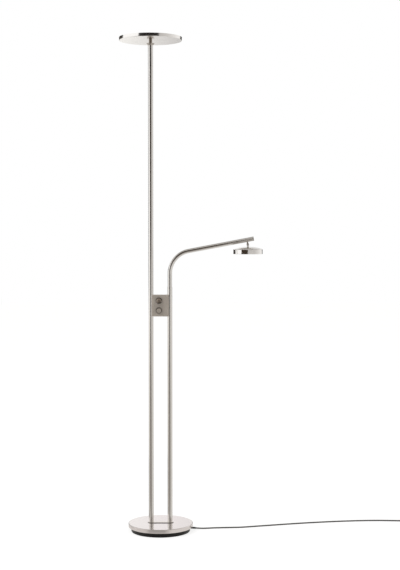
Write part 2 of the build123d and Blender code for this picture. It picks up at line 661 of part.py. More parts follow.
def make_reading_light():
    low = -READING_DOME - READING_RIM
    outer = revolve(dome_face(READING_R, READING_FLAT_R, 0, low), axis=Axis.Z)
    bore_r = READING_R - READING_WALL
    inner = revolve(dome_face(bore_r, READING_FLAT_R, -READING_WALL, low), axis=Axis.Z)
    shell = outer - inner - rod(PIN_R + FASTENER_GAP, -READING_WALL, 0)
    keep("reading_shell", reading_place(shell))

    diffuser_low = low + READING_DIFFUSER_DROP
    ring_low = diffuser_low + READING_DIFFUSER_T
    sink_low = ring_low + READING_RING_HEIGHT
    board_low = sink_low - BOARD_T
    ring_r = bore_r - FASTENER_GAP
    diffuser = rod(bore_r - SEAT_GAP, diffuser_low, ring_low)
    diffuser = fillet(diffuser.edges().group_by(Axis.Z)[0], READING_DIFFUSER_T * 0.3)
    keep("reading_diffuser", reading_place(diffuser))
    ring_bore = ring_r - READING_RING_WIDTH
    keep("reading_spacer_ring", reading_place(tube(ring_r, ring_bore, ring_low, sink_low)))
    keep("reading_heat_sink", reading_place(rod(ring_r, sink_low, sink_low + READING_SINK_T)))
    board_r = ring_bore - READING_BOARD_MARGIN
    keep("reading_led_board", reading_place(rod(board_r, board_low, sink_low)))
    chips = led_group(board_r, READING_LED_INSETS, board_low - LED_SIZE[2])
    keep("reading_leds", *[reading_place(chip) for chip in chips])


def make_head_stem():
    tongue = along_y(TONGUE_R, -TONGUE_T / 2, TONGUE_T / 2)
    tongue += Pos(0, 0, -STEM_NECK_TOP / 2) * Box(2 * STEM_NECK_R, TONGUE_T, STEM_NECK_TOP)
    flange_top = -STEM_DROP + STEM_FLANGE_T
    tongue += rod(STEM_NECK_R, flange_top, -STEM_NECK_TOP)
    tongue += rod(STEM_FLANGE_R, -STEM_DROP, flange_top)
    tongue += rod(PIN_R, -STEM_DROP - STEM_THREAD, -STEM_DROP)
    tongue -= along_y(TILT_SCREW_R + FIT_GAP, -TONGUE_T, TONGUE_T)
    keep("head_stem", Pos(PIVOT) * tongue)
    nut_top = -READING_WALL
    nut = hex_nut(STEM_NUT_R, PIN_R + FIT_GAP, nut_top - STEM_NUT_T, nut_top)
    keep("stem_nut", reading_place(nut))


# ---------------------------------------------------------------- mains cord

EXIT_DIRECTION = Vector(
    cos(radians(EXIT_ANGLE)) * cos(radians(RELIEF_DIP)),
    sin(radians(EXIT_ANGLE)) * cos(radians(RELIEF_DIP)),
    -sin(radians(RELIEF_DIP)),
)
EXIT_ON_WALL = Vector(FOOT_R * cos(radians(EXIT_ANGLE)), FOOT_R * sin(radians(EXIT_ANGLE)), EXIT_Z)
CORD_START = EXIT_ON_WALL + EXIT_DIRECTION * RELIEF_LENGTH

COIL_PITCH = 2 * CORD_R + COIL_GAP
COIL_OUTER_R = COIL_MEAN_R + COIL_PITCH * COIL_TURNS / 2
COIL_INNER_R = COIL_MEAN_R - COIL_PITCH * COIL_TURNS / 2
COIL_Z = CORD_R + TIE_LEVEL_GAP + TIE_T + TIE_FLOOR_GAP
COIL_START = Vector(COIL_X - 2 * CORD_R, COIL_Y + COIL_OUTER_R, COIL_Z)

# From the strain relief along the floor to the right, as the lamp's own lead lies,
# then up to the height of the coil, which stands on its tie.
CORD_ROUTE = [
    CORD_START,
    CORD_START + EXIT_DIRECTION * CORD_FIRST_RUN,
    Vector(170, 26, FLOOR_CORD_Z),
    Vector(197, 32.5, FLOOR_CORD_Z),
    Vector(245, 37, FLOOR_CORD_Z),
    Vector(291, 40, FLOOR_CORD_Z),
    Vector(327, 49, FLOOR_CORD_Z),
    Vector(362, 58, FLOOR_CORD_Z),
    Vector(405, 68, FLOOR_CORD_Z),
    Vector(447, 80, FLOOR_CORD_Z),
    Vector(520, 100, FLOOR_CORD_Z),
    Vector(595, 117, FLOOR_CORD_Z),
    Vector(670, 131, FLOOR_CORD_Z),
    Vector(745, 141, FLOOR_CORD_Z),
    Vector(815, 145, FLOOR_CORD_Z),
    Vector(870, 142, FLOOR_CORD_Z),
    Vector(915, COIL_START.Y, COIL_Z),
    COIL_START,
]


def make_strain_relief():
    inward = 6.0
    boot_axis = Plane(origin=EXIT_ON_WALL, z_dir=EXIT_DIRECTION)
    growth = (RELIEF_BASE_R - RELIEF_TIP_R) * inward / RELIEF_LENGTH
    cone = Cone(RELIEF_BASE_R + growth, RELIEF_TIP_R, RELIEF_LENGTH + inward)
    boot = boot_axis.location * Pos(0, 0, (RELIEF_LENGTH - inward) / 2) * cone
    boot -= rod(FOOT_R + FIT_GAP, 0, FOOT_TOP_Z)
    wall_inside = FOOT_R - FOOT_WALL
    neck_in = wall_inside - RELIEF_FLANGE_T
    neck_out = FOOT_R + 1.0
    neck = Rot(0, 90, 0) * Cylinder(RELIEF_NECK_R, neck_out - neck_in)
    neck = Pos((neck_in + neck_out) / 2, 0, EXIT_Z) * neck
    flange_x = wall_inside - FASTENER_GAP - RELIEF_FLANGE_T / 2
    flange = Box(RELIEF_FLANGE_T, RELIEF_FLANGE_WIDTH, 2 * RELIEF_NECK_R)
    flange = Pos(flange_x, 0, EXIT_Z) * flange
    flange &= rod(wall_inside - FASTENER_GAP, 0, FOOT_TOP_Z)
    keep("strain_relief", boot + Rot(0, 0, EXIT_ANGLE) * (neck + flange))


def corner_radii(points):
    """Each corner's arc: 0.45 of its shorter run over the tangent of half the turn."""
    radii = []
    for before, here, after in zip(points, points[1:], points[2:]):
        turn = (here - before).get_angle(after - here)
        shorter = min((here - before).length, (after - here).length)
        radii.append(0.45 * shorter / sin(radians(turn / 2)) * cos(radians(turn / 2)))
    return radii


def swept_round(path, radius):
    """A round tube along a path, with its volume checked against section times length."""
    section = Plane(origin=path @ 0, z_dir=path % 0) * Circle(radius)
    body = sweep(section, path=path)
    print("tube length", round(path.length, 1), "volume ratio",
          round(body.volume / (pi * radius ** 2 * path.length), 5))
    return body


def make_mains_cord():
    radii = corner_radii(CORD_ROUTE)
    print("cord corner radii", [round(r, 1) for r in radii])
    path = FilletPolyline(*CORD_ROUTE, radius=radii)
    keep("mains_cord", swept_round(path, CORD_R))


def coil_stations():
    """Places and directions every quarter turn: in along the floor, up, and out again.

    The turns run clockwise seen from above, from the coil's +Y side.
    """
    quarter = 90.0
    inward = COIL_TURNS * 4
    outward = COIL_TURNS * 4 - 1
    drift = COIL_PITCH / (2 * pi)
    stations = []
    for i in range(inward + 1):
        stations.append((90 - quarter * i, COIL_OUTER_R - COIL_PITCH * i / 4, COIL_Z, -drift))
    last_angle = stations[-1][0] - 2 * quarter
    for i in range(outward + 1):
        stations.append((last_angle - quarter * i, COIL_INNER_R + COIL_PITCH * i / 4,
                         COIL_Z + COIL_PITCH, drift))
    placed = []
    for index, (angle, radius, z, radial) in enumerate(stations):
        if index in (0, len(stations) - 1):
            radial = 0.0
        out = Vector(cos(radians(angle)), sin(radians(angle)), 0)
        on = Vector(sin(radians(angle)), -cos(radians(angle)), 0)
        place = Vector(COIL_X, COIL_Y, z) + out * radius
        placed.append((place, (on * radius + out * radial).normalized()))
    return placed


def biarc(start, start_way, end, end_way):
    """Two tangent arcs from one place and direction to another."""
    span = end - start
    ways = start_way + end_way
    a = ways.dot(ways) - 4
    b = -2 * span.dot(ways)
    c = span.dot(span)
    reach = (-b - sqrt(b * b - 4 * a * c)) / (2 * a)
    middle = ((start + start_way * reach) + (end - end_way * reach)) * 0.5
    first = TangentArc(start, middle, tangent=start_way)
    return [first, TangentArc(middle, end, tangent=first % 1)]


def least_self_gap(path, radius):
    """Least gap between turns, measured on points along the path."""
    step = radius / 2
    count = int(path.length / step)
    points = [path @ (i / count) for i in range(count + 1)]
    apart = int(6 * radius / step) + 1
    least = min(
        (points[i] - points[j]).length
        for i in range(count + 1)
        for j in range(i + apart, count + 1)
    )
    return least - 2 * radius


def make_cord_coil():
    stations = coil_stations()
    edges = [Line(COIL_START, stations[0][0])]
    for (start, way), (end, next_way) in zip(stations, stations[1:]):
        edges += biarc(start, way, end, next_way)
    last, last_way = stations[-1]
    edges.append(Line(last, last + last_way * COIL_TAIL))
    path = Wire(edges)
    print("coil least gap", round(least_self_gap(path, CORD_R), 3))
    keep("cord_coil", swept_round(path, CORD_R))
    return last + last_way * COIL_TAIL, last_way


def make_cord_tie():
    """A band round the coil's turns, on its side towards the lamp."""
    quarter_r = COIL_PITCH / 4
    inner_r = COIL_INNER_R + quarter_r - CORD_R - TIE_SIDE_GAP
    outer_r = COIL_OUTER_R - 3 * quarter_r + CORD_R + TIE_SIDE_GAP
    height = COIL_PITCH + 2 * CORD_R + 2 * TIE_LEVEL_GAP
    width = outer_r - inner_r
    band = RectangleRounded(width + 2 * TIE_T, height + 2 * TIE_T, CORD_R)
    band -= RectangleRounded(width, height, CORD_R - TIE_T)
    tie = Plane.XZ * extrude(band, TIE_WIDTH / 2, both=True)
    place = Pos(COIL_X - (inner_r + outer_r) / 2, COIL_Y, COIL_Z + COIL_PITCH / 2)
    keep("cord_tie", place * tie)


def make_plug(entry):
    """A flat plug lying on the floor, its boot meeting the cord's end, its pins along -Y."""
    body_z = PLUG_T / 2
    rear_y = entry.Y - PLUG_BOOT_LENGTH
    front_y = rear_y - PLUG_LENGTH
    half, rear_half = PLUG_WIDTH / 2, PLUG_REAR_WIDTH / 2
    shoulder = rear_y - PLUG_LENGTH * 0.45
    outline = Polyline(
        (entry.X - rear_half, rear_y), (entry.X - half, shoulder), (entry.X - half, front_y),
        (entry.X + half, front_y), (entry.X + half, shoulder), (entry.X + rear_half, rear_y),
        close=True,
    )
    body = extrude(make_face(outline), PLUG_T)
    body = fillet(body.edges().filter_by(Axis.Z), PLUG_EDGE_R)
    body = fillet(body.edges().group_by(Axis.Z)[-1], PLUG_EDGE_R * 0.8)
    tip_r = CORD_R + PLUG_BOOT_TIP_WALL
    base_r = CORD_R + PLUG_BOOT_BASE_WALL
    tip = Plane(origin=entry, x_dir=(1, 0, 0), z_dir=(0, -1, 0)) * Circle(tip_r)
    base_place = Vector(entry.X, rear_y - 1.0, body_z)
    base = Plane(origin=base_place, x_dir=(1, 0, 0), z_dir=(0, -1, 0)) * Circle(base_r)
    body += loft([tip, base])
    pins = []
    for side in (-1, 1):
        x = entry.X + side * PIN_SPACING / 2
        hole = front_rod(PLUG_PIN_R + FIT_GAP, front_y, front_y + PLUG_PIN_ROOT, x, body_z)
        body -= hole
        root_y = front_y + PLUG_PIN_ROOT - FIT_GAP
        pin = front_rod(PLUG_PIN_R, front_y - PLUG_PIN_LENGTH, root_y, x, body_z)
        pins.append(fillet(pin.edges().group_by(Axis.Y)[0], PLUG_PIN_R * 0.6))
    keep("plug_body", body)
    keep("plug_pins", *pins)


make_foot_pad()
make_foot_pan()
make_pan_screws()
make_base_weight()
make_base_cover()
make_flange_plate()
make_pole_fixings()
make_pan_contents()
make_poles()
make_control_box()
make_box_screws()
make_dimmers()
make_neck()
make_top_light()
make_arm()
make_leads()
make_knuckle()
make_reading_light()
make_head_stem()
make_strain_relief()
make_mains_cord()
plug_entry, plug_way = make_cord_coil()
make_cord_tie()
make_plug(plug_entry)
print("pivot", PIVOT, "arm tip", ARM_TIP, "cord start", CORD_START, "plug entry", plug_entry)
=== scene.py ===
import json
import math

import bmesh
import bpy
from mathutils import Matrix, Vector


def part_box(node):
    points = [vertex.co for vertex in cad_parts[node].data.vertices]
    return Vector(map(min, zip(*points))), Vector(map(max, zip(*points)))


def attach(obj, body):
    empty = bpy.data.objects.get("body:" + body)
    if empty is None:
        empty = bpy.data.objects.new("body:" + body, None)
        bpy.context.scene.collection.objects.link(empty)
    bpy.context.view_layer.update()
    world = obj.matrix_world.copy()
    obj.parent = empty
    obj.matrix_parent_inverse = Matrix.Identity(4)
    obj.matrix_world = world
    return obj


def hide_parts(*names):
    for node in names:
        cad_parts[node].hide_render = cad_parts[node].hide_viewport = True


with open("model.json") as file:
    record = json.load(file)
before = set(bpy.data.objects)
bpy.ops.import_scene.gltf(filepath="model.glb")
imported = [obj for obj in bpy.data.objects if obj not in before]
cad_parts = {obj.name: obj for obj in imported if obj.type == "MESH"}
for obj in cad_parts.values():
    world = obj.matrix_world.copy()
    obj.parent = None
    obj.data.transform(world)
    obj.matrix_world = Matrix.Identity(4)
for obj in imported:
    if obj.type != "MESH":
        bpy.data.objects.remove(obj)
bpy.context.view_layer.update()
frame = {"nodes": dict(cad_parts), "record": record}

# ---------------------------------------------------------------- camera

CAMERA_PLACE = (0.1445, -4.5, 1.1115)
CAMERA_PITCH_DOWN = 0.0460
CAMERA_LENS = 78.0
CAMERA_SENSOR = 36.0


def make_camera():
    """A long lens in front of the lamp, pitched a little down."""
    data = bpy.data.cameras.new("camera")
    data.lens = CAMERA_LENS
    data.sensor_width = CAMERA_SENSOR
    camera = bpy.data.objects.new("camera", data)
    camera.location = CAMERA_PLACE
    camera.rotation_euler = (math.pi / 2 - CAMERA_PITCH_DOWN, 0, 0)
    bpy.context.collection.objects.link(camera)
    bpy.context.scene.camera = camera


make_camera()

# ---------------------------------------------------------------- node trees

# Places of a mix node's two colours and of the colour that it gives.
MIX_FIRST = 6
MIX_SECOND = 7
MIX_RESULT = 2


def is_output(value):
    return isinstance(value, bpy.types.NodeSocket)


def opaque(colour):
    """A colour with full alpha. An output stays as it is."""
    return colour if is_output(colour) else (*colour, 1)


class Nodes:
    """Short ways to build a node tree. A value is a number, a colour or the output of a node."""

    def __init__(self, tree):
        self.tree = tree

    def add(self, kind, settings=None, inputs=None):
        """Adds a node with its settings and fills its inputs."""
        node = self.tree.nodes.new(kind)
        for name, value in (settings or {}).items():
            setattr(node, name, value)
        self.fill(node, inputs or {})
        return node

    def fill(self, node, inputs):
        """Sets a node's inputs, by name or place, or joins them to outputs."""
        for name, value in inputs.items():
            if is_output(value):
                self.tree.links.new(value, node.inputs[name])
            else:
                node.inputs[name].default_value = value

    def calc(self, operation, a, b=0.0, clamp=False):
        node = self.add("ShaderNodeMath", {"operation": operation, "use_clamp": clamp}, {0: a, 1: b})
        return node.outputs[0]

    def plus(self, a, b):
        return self.calc("ADD", a, b)

    def times(self, a, b):
        return self.calc("MULTIPLY", a, b)

    def rest(self, share):
        """What a share leaves of 1."""
        return self.calc("SUBTRACT", 1.0, share) if is_output(share) else 1.0 - share

    def mix(self, share, a, b):
        """A number that goes from a to b as the share goes from 0 to 1."""
        return self.plus(self.times(b, share), self.times(a, self.rest(share)))

    def vector(self, operation, inputs):
        return self.add("ShaderNodeVectorMath", {"operation": operation}, inputs)

    def span(self, value, source, target):
        """Maps one range to another, held at its ends."""
        limits = zip(("From Min", "From Max", "To Min", "To Max"), (*source, *target))
        return self.add("ShaderNodeMapRange", inputs={"Value": value, **dict(limits)}).outputs["Result"]

    def above(self, value, edge, width):
        """0 below an edge, 1 above it, with a soft step of a width."""
        past = self.calc("DIVIDE", self.calc("SUBTRACT", value, edge), width)
        return self.calc("ADD", past, 0.5, clamp=True)

    def within(self, value, low, high, width):
        """1 between two edges and 0 outside them, with soft steps of a width."""
        return self.times(self.above(value, low, width), self.rest(self.above(value, high, width)))

    def blend(self, share, first, second):
        """A colour that goes from the first to the second as the share goes from 0 to 1."""
        inputs = {"Factor": share, MIX_FIRST: opaque(first), MIX_SECOND: opaque(second)}
        return self.add("ShaderNodeMix", {"data_type": "RGBA"}, inputs).outputs[MIX_RESULT]

    def ring(self, azimuth, stops):
        """A colour by azimuth, between stops from -180 to 180 degrees."""
        node = self.add("ShaderNodeValToRGB", inputs={0: self.span(azimuth, (-180.0, 180.0), (0.0, 1.0))})
        marks = node.color_ramp.elements
        while len(marks) < len(stops):
            marks.new(0.5)
        for mark, (degrees, colour) in zip(marks, stops):
            mark.position = (degrees + 180.0) / 360.0
            mark.color = (*colour, 1)
        return node.outputs[0]

    def parts(self, vector):
        """The outputs X, Y and Z of a vector."""
        return self.add("ShaderNodeSeparateXYZ", inputs={0: vector}).outputs

    def azimuth(self, direction):
        """Degrees about the upright axis from the camera's side."""
        parts = self.parts(direction)
        turn = self.calc("ARCTAN2", parts["X"], self.times(parts["Y"], -1.0))
        return self.times(turn, 180 / math.pi)


# ---------------------------------------------------------------- materials

# Noise mostly lies between these values.
NOISE_MIDDLE = (0.3, 0.7)

# Gloss and tint go from the first share of a material's own value to the second.
GRAIN_DETAIL = 4.0
PLATE_GLOSS = (0.8, 1.25)
PLATE_DEPTH = 0.00001
PLATE_MARK_ROUGHNESS = 0.6
BRUSHED_TINT = (0.97, 1.03)
BRUSHED_CLOUDS = 22.0
BRUSHED_GRAIN_SHARE = 0.6
BRUSHED_BUMP = 0.35
SPUN_TINT = (0.98, 1.02)
SPUN_CLOUDS = 14.0
SPUN_CLOUD_DETAIL = 2.0
SPUN_MARK_SHARE = 0.5
SPUN_BUMP = 0.3
GRAINED_GLOSS = (0.85, 1.15)
GRAINED_CLOUDS = 30.0
GRAINED_ROUGHNESS = 0.55
GRAINED_SHARE = 0.5
GRAINED_BUMP = 0.5
BOX_TINT = (0.93, 1.07)
BOX_GRAIN = 2200.0
BOX_DEPTH = 0.00002
# Painted shade in the flange's gap: how dark it is painted below a height, and how soft that step is.
PAINTED_GAP_SHADE = 0.16
PAINTED_GAP_SHADE_BLUR = 0.0001


class Material(Nodes):
    """A node material whose main shader varies in colour, gloss and relief."""

    def __init__(self, name, base, metallic, roughness, specular=0.5):
        self.data = bpy.data.materials.new(name)
        self.data.use_nodes = True
        super().__init__(self.data.node_tree)
        self.shader = self.tree.nodes["Principled BSDF"]
        self.base = base
        self.roughness = roughness
        self.fill(self.shader, {"Base Color": opaque(base), "Metallic": metallic})
        self.fill(self.shader, {"Roughness": roughness, "Specular IOR Level": specular})
        self.place = self.add("ShaderNodeTexCoord").outputs["Object"]

    def noise(self, where, scale, detail=3.0, roughness=0.5):
        inputs = {"Vector": where, "Scale": scale, "Detail": detail, "Roughness": roughness}
        return self.add("ShaderNodeTexNoise", inputs=inputs).outputs["Fac"]

    def tint(self, value, shares):
        """Varies the base colour's brightness between two shares of it."""
        dark, light = [[min(part * share, 1.0) for part in self.base] for share in shares]
        self.fill(self.shader, {"Base Color": self.blend(value, dark, light)})

    def gloss(self, value, shares):
        """Varies the roughness between two shares of it."""
        target = [self.roughness * share for share in shares]
        self.fill(self.shader, {"Roughness": self.span(value, NOISE_MIDDLE, target)})

    def bump(self, height, strength, distance):
        inputs = {"Height": height, "Strength": strength, "Distance": distance}
        self.fill(self.shader, {"Normal": self.add("ShaderNodeBump", inputs=inputs).outputs["Normal"]})


def brushed_nickel(name, base, roughness, strokes):
    """Nickel plate with fine strokes, which run along the axis that has the small scale."""
    metal = Material(name, base, 1.0, roughness)
    mapping = metal.add("ShaderNodeMapping", inputs={"Vector": metal.place, "Scale": strokes})
    grain = metal.noise(mapping.outputs["Vector"], 1.0, GRAIN_DETAIL, PLATE_MARK_ROUGHNESS)
    clouds = metal.noise(metal.place, BRUSHED_CLOUDS)
    metal.gloss(metal.mix(BRUSHED_GRAIN_SHARE, clouds, grain), PLATE_GLOSS)
    metal.tint(clouds, BRUSHED_TINT)
    metal.bump(grain, BRUSHED_BUMP, PLATE_DEPTH)
    return metal


def spun_nickel(name, base, roughness, centre, rings=900.0):
    """Nickel plate with the marks of spinning about an upright axis, so many rings to a metre."""
    metal = Material(name, base, 1.0, roughness)
    offset = metal.vector("SUBTRACT", {0: metal.place, 1: (*centre, 0)}).outputs[0]
    level = metal.vector("MULTIPLY", {0: offset, 1: (1, 1, 0)}).outputs[0]
    off_axis = metal.vector("LENGTH", {0: level}).outputs["Value"]
    inputs = {"W": off_axis, "Scale": rings, "Detail": GRAIN_DETAIL, "Roughness": PLATE_MARK_ROUGHNESS}
    marks = metal.add("ShaderNodeTexNoise", {"noise_dimensions": "1D"}, inputs).outputs["Fac"]
    clouds = metal.noise(metal.place, SPUN_CLOUDS, SPUN_CLOUD_DETAIL)
    metal.gloss(metal.mix(SPUN_MARK_SHARE, clouds, marks), PLATE_GLOSS)
    metal.tint(clouds, SPUN_TINT)
    metal.bump(marks, SPUN_BUMP, PLATE_DEPTH)
    return metal


def grained(name, base, roughness, grain_scale, depth, tint=(0.9, 1.1), metallic=0.0, specular=0.5):
    """A moulded, cast or painted surface: fine grain, slow colour variation and uneven gloss."""
    surface = Material(name, base, metallic, roughness, specular)
    grain = surface.noise(surface.place, grain_scale, GRAIN_DETAIL, GRAINED_ROUGHNESS)
    clouds = surface.noise(surface.place, GRAINED_CLOUDS)
    surface.tint(clouds, tint)
    surface.gloss(surface.mix(GRAINED_SHARE, clouds, grain), GRAINED_GLOSS)
    surface.bump(grain, GRAINED_BUMP, depth)
    return surface


def small_nickel(name, base, roughness=0.24, grain_scale=2400.0):
    """A small turned piece of plate, too small for its strokes to show."""
    return grained(name, base, roughness, grain_scale, PLATE_DEPTH, metallic=1.0)


def box_nickel(name, base, roughness, metallic):
    """The control box's finish, softer than plate."""
    return grained(name, base, roughness, BOX_GRAIN, BOX_DEPTH, tint=BOX_TINT, metallic=metallic)


def gap_shaded_nickel(name, base, roughness, strokes, painted_shade_top_z):
    """Brushed plate with painted shade below a height, standing in for the shadow in the gap under its edge.
    """
    metal = brushed_nickel(name, base, roughness, strokes)
    heights = (painted_shade_top_z - PAINTED_GAP_SHADE_BLUR, painted_shade_top_z + PAINTED_GAP_SHADE_BLUR)
    shade = metal.span(metal.parts(metal.place)["Z"], heights, (PAINTED_GAP_SHADE, 1.0))
    colour = metal.shader.inputs["Base Color"].links[0].from_socket
    shaded = metal.vector("SCALE", {0: colour, "Scale": shade}).outputs[0]
    metal.fill(metal.shader, {"Base Color": shaded})
    return metal


UPRIGHT_STROKES = (2500, 2500, 60)
LEVEL_STROKES = (60, 2500, 2500)
KNOB_FACE_STROKES = (2200, 2200, 60)
KNOB_SIDE_STROKES = (2200, 60, 2200)

NICKEL = (0.80, 0.775, 0.745)
SPUN_NICKEL = (0.90, 0.88, 0.855)
BOX_NICKEL = (0.66, 0.60, 0.535)
BOX_METALLIC = 0.4
EVEN_TINT = (0.98, 1.02)
# Below this height the flange is painted dark, as painted shade in the gap under it.
FLANGE_PAINTED_SHADE_TOP_Z = 0.0322
LEFT_POLE_X = -0.0345
READING_X = 0.319169

# Each has its base colour and roughness, and a grained one its grains to a metre and their depth.
MATERIALS = {
    "satin_nickel": brushed_nickel("satin_nickel", NICKEL, 0.16, UPRIGHT_STROKES),
    "polished_base": spun_nickel("polished_base", (0.83, 0.778, 0.757), 0.15, (0, 0)),
    "black_enamel": grained("black_enamel", (0.008, 0.007, 0.006), 0.42, 1800.0, 0.00004, specular=0.3),
    "pad_rubber": grained("pad_rubber", (0.016, 0.015, 0.015), 0.85, 900.0, 0.0002, specular=0.3),
    "cast_weight": grained("cast_weight", (0.16, 0.16, 0.165), 0.6, 500.0, 0.0004, metallic=0.8),
    "zinc_steel": grained("zinc_steel", (0.62, 0.63, 0.65), 0.3, 1500.0, 0.00002, metallic=1.0),
    "board_laminate": grained("board_laminate", (0.80, 0.82, 0.80), 0.4, 1200.0, 0.00002, tint=(0.96, 1.02)),
    "led_resin": grained("led_resin", (0.85, 0.66, 0.14), 0.3, 1500.0, 0.00002),
    "opal_diffuser": grained("opal_diffuser", (0.90, 0.90, 0.87), 0.35, 2500.0, 0.00002, tint=EVEN_TINT),
    "spreader_aluminium": grained("spreader_aluminium", (0.78, 0.78, 0.79), 0.35, 1200.0, 0.00003,
                                  metallic=1.0),
    "white_moulding": grained("white_moulding", (0.82, 0.82, 0.80), 0.45, 1500.0, 0.00003,
                              tint=(0.95, 1.03)),
    "black_moulding": grained("black_moulding", (0.03, 0.03, 0.03), 0.5, 1600.0, 0.00006),
    # The knob slot's nickel is painted nearly black, as painted shade on the knobs' rings.
    "knob_nickel": brushed_nickel("knob_nickel", (0.13, 0.113, 0.097), 0.24, KNOB_SIDE_STROKES),
    "cord_sheath": grained("cord_sheath", (0.085, 0.08, 0.075), 0.42, 1400.0, 0.00005),
    "lead_sheath": grained("lead_sheath", (0.5, 0.5, 0.5), 0.5, 1400.0, 0.00004),
    "pin_brass": grained("pin_brass", (0.74, 0.69, 0.58), 0.22, 1400.0, 0.00001, metallic=1.0),
}

# Nodes whose finish differs from that of their slot.
OWN_FINISH = {
    "top_pan": spun_nickel("spun_nickel", SPUN_NICKEL, 0.12, (LEFT_POLE_X, 0)),
    "reading_shell": spun_nickel("spun_nickel_small", SPUN_NICKEL, 0.13, (READING_X, 0), rings=1500.0),
    "control_box": box_nickel("box_nickel", BOX_NICKEL, 0.38, BOX_METALLIC),
    "control_box_cover": box_nickel("box_back_nickel", BOX_NICKEL, 0.38, BOX_METALLIC),
    "arm_end_cap": small_nickel("cap_nickel", (0.34, 0.32, 0.30), 0.25, 2200.0),
    "neck_sleeve": small_nickel("neck_nickel", (0.27, 0.235, 0.20)),
    "pole_collar": small_nickel("collar_nickel", (0.50, 0.46, 0.42)),
    "knuckle_pin": small_nickel("pin_nickel", (0.46, 0.43, 0.40)),
    # The flange's colour carries painted shade below a height, for the gap under it.
    "flange_plate": gap_shaded_nickel("flange_nickel_painted_gap_shade", (0.80, 0.745, 0.70), 0.16, LEVEL_STROKES,
                                 FLANGE_PAINTED_SHADE_TOP_Z),
}


def dress_cad_nodes():
    """Gives every CAD node its own finish, or the material of its slot in the record."""
    for row in frame["record"]["subparts"]:
        piece = frame["nodes"][row["node"]]
        material = OWN_FINISH.get(row["node"]) or MATERIALS[row["material_slot"]]
        piece.data.materials.clear()
        piece.data.materials.append(material.data)


def even_edge(node, sharp=30.0):
    """Shades a CAD node's rounded edges evenly into its large flat faces."""
    piece = frame["nodes"][node]
    piece.data.set_sharp_from_angle(angle=math.radians(sharp))
    evened = piece.modifiers.new("even_edge", "WEIGHTED_NORMAL")
    evened.keep_sharp = True


dress_cad_nodes()
even_edge("base_cover")
even_edge("top_pan")

# ---------------------------------------------------------------- skins and profiles

MERGE_DISTANCE = 1e-7


def skin(name, rings, material, body, sharp=35.0):
    """One closed skin over rings of points. A ring of a single point closes an end, or else the last
    ring lies on the first."""
    shape = bmesh.new()
    made = [[shape.verts.new(point) for point in ring] for ring in rings]
    for near, far in zip(made, made[1:]):
        count = max(len(near), len(far))
        for i in range(count):
            j = (i + 1) % count
            corners = []
            for corner in (near[i % len(near)], near[j % len(near)], far[j % len(far)], far[i % len(far)]):
                if corner not in corners:
                    corners.append(corner)
            shape.faces.new(corners)
    bmesh.ops.remove_doubles(shape, verts=shape.verts, dist=MERGE_DISTANCE)
    bmesh.ops.recalc_face_normals(shape, faces=shape.faces)
    mesh = bpy.data.meshes.new(name)
    shape.to_mesh(mesh)
    shape.free()
    mesh.materials.append(material.data)
    mesh.polygons.foreach_set("use_smooth", [True] * len(mesh.polygons))
    mesh.set_sharp_from_angle(angle=math.radians(sharp))
    piece = bpy.data.objects.new(name, mesh)
    bpy.context.collection.objects.link(piece)
    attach(piece, body)
    return piece


def turned(profile, start, way, segments=72):
    """Rings of a profile, pairs of distance along the axis and radius, turned about the axis."""
    side = way.orthogonal().normalized()
    other = way.cross(side).normalized()
    rings = []
    for along, radius in profile:
        centre = start + way * along
        count = segments if radius > 0 else 1
        angles = [2 * math.pi * i / count for i in range(count)]
        rings.append([centre + (side * math.cos(a) + other * math.sin(a)) * radius for a in angles])
    return rings


def arc(along, radius, size, start, end, steps=6):
    """Profile points of an arc about (along, radius), angles in degrees from the axis."""
    angles = [math.radians(start + (end - start) * i / steps) for i in range(steps + 1)]
    return [(along + size * math.cos(a), radius + size * math.sin(a)) for a in angles]


# ---------------------------------------------------------------- knobs

# Painted reflection: the two knobs are alike, but the upper face is painted darker and the lower face paler,
# each in the tone it mirrors.
KNOB_FACES_PAINTED_REFLECTION = {
    "upper": brushed_nickel("upper_knob_face_painted_dark_reflection", (0.72, 0.62, 0.53), 0.26, KNOB_FACE_STROKES),
    "lower": box_nickel("lower_knob_face_painted_light_reflection", (0.61, 0.55, 0.485), 0.34, 0.55),
}
# Painted shade: the knobs' rings are nickel painted near black, the upper's darkest, for the dark crescent
# round each knob.
KNOB_RINGS_PAINTED_SHADE = {
    "upper": brushed_nickel("upper_knob_ring_painted_shade", (0.035, 0.029, 0.024), 0.26, KNOB_SIDE_STROKES),
    "lower": brushed_nickel("lower_knob_ring_painted_shade", (0.10, 0.086, 0.073), 0.26, KNOB_SIDE_STROKES),
}
KNOB_X = -0.005
KNOB_HEIGHTS = {"upper": 0.848, "lower": 0.812}
KNOB_BACK_Y = -0.0115
KNOB_DEPTH = 0.0125
KNOB_R = 0.0114
KNOB_BORE_R = 0.00305
KNOB_BORE_END = 0.0105
KNOB_HOLLOW_R = 0.007
KNOB_HOLLOW_DEPTH = 0.0028
KNOB_CHAMFER = 0.0003
KNOB_RIM = 0.0016
KNOB_GROOVE = 0.0004
KNOB_TAPER = 9.0
KNOB_EDGE_R = 0.0012
KNOB_FACE_R = 0.0086
KNOB_DISH = 0.0003
KNOB_DISH_SLOPE = 1.5 * KNOB_DISH

# The dished face lies in front of this, and the end of the shaft's bore behind it.
KNOB_FACE_FROM_Y = KNOB_BACK_Y - (KNOB_DEPTH + KNOB_BORE_END) / 2


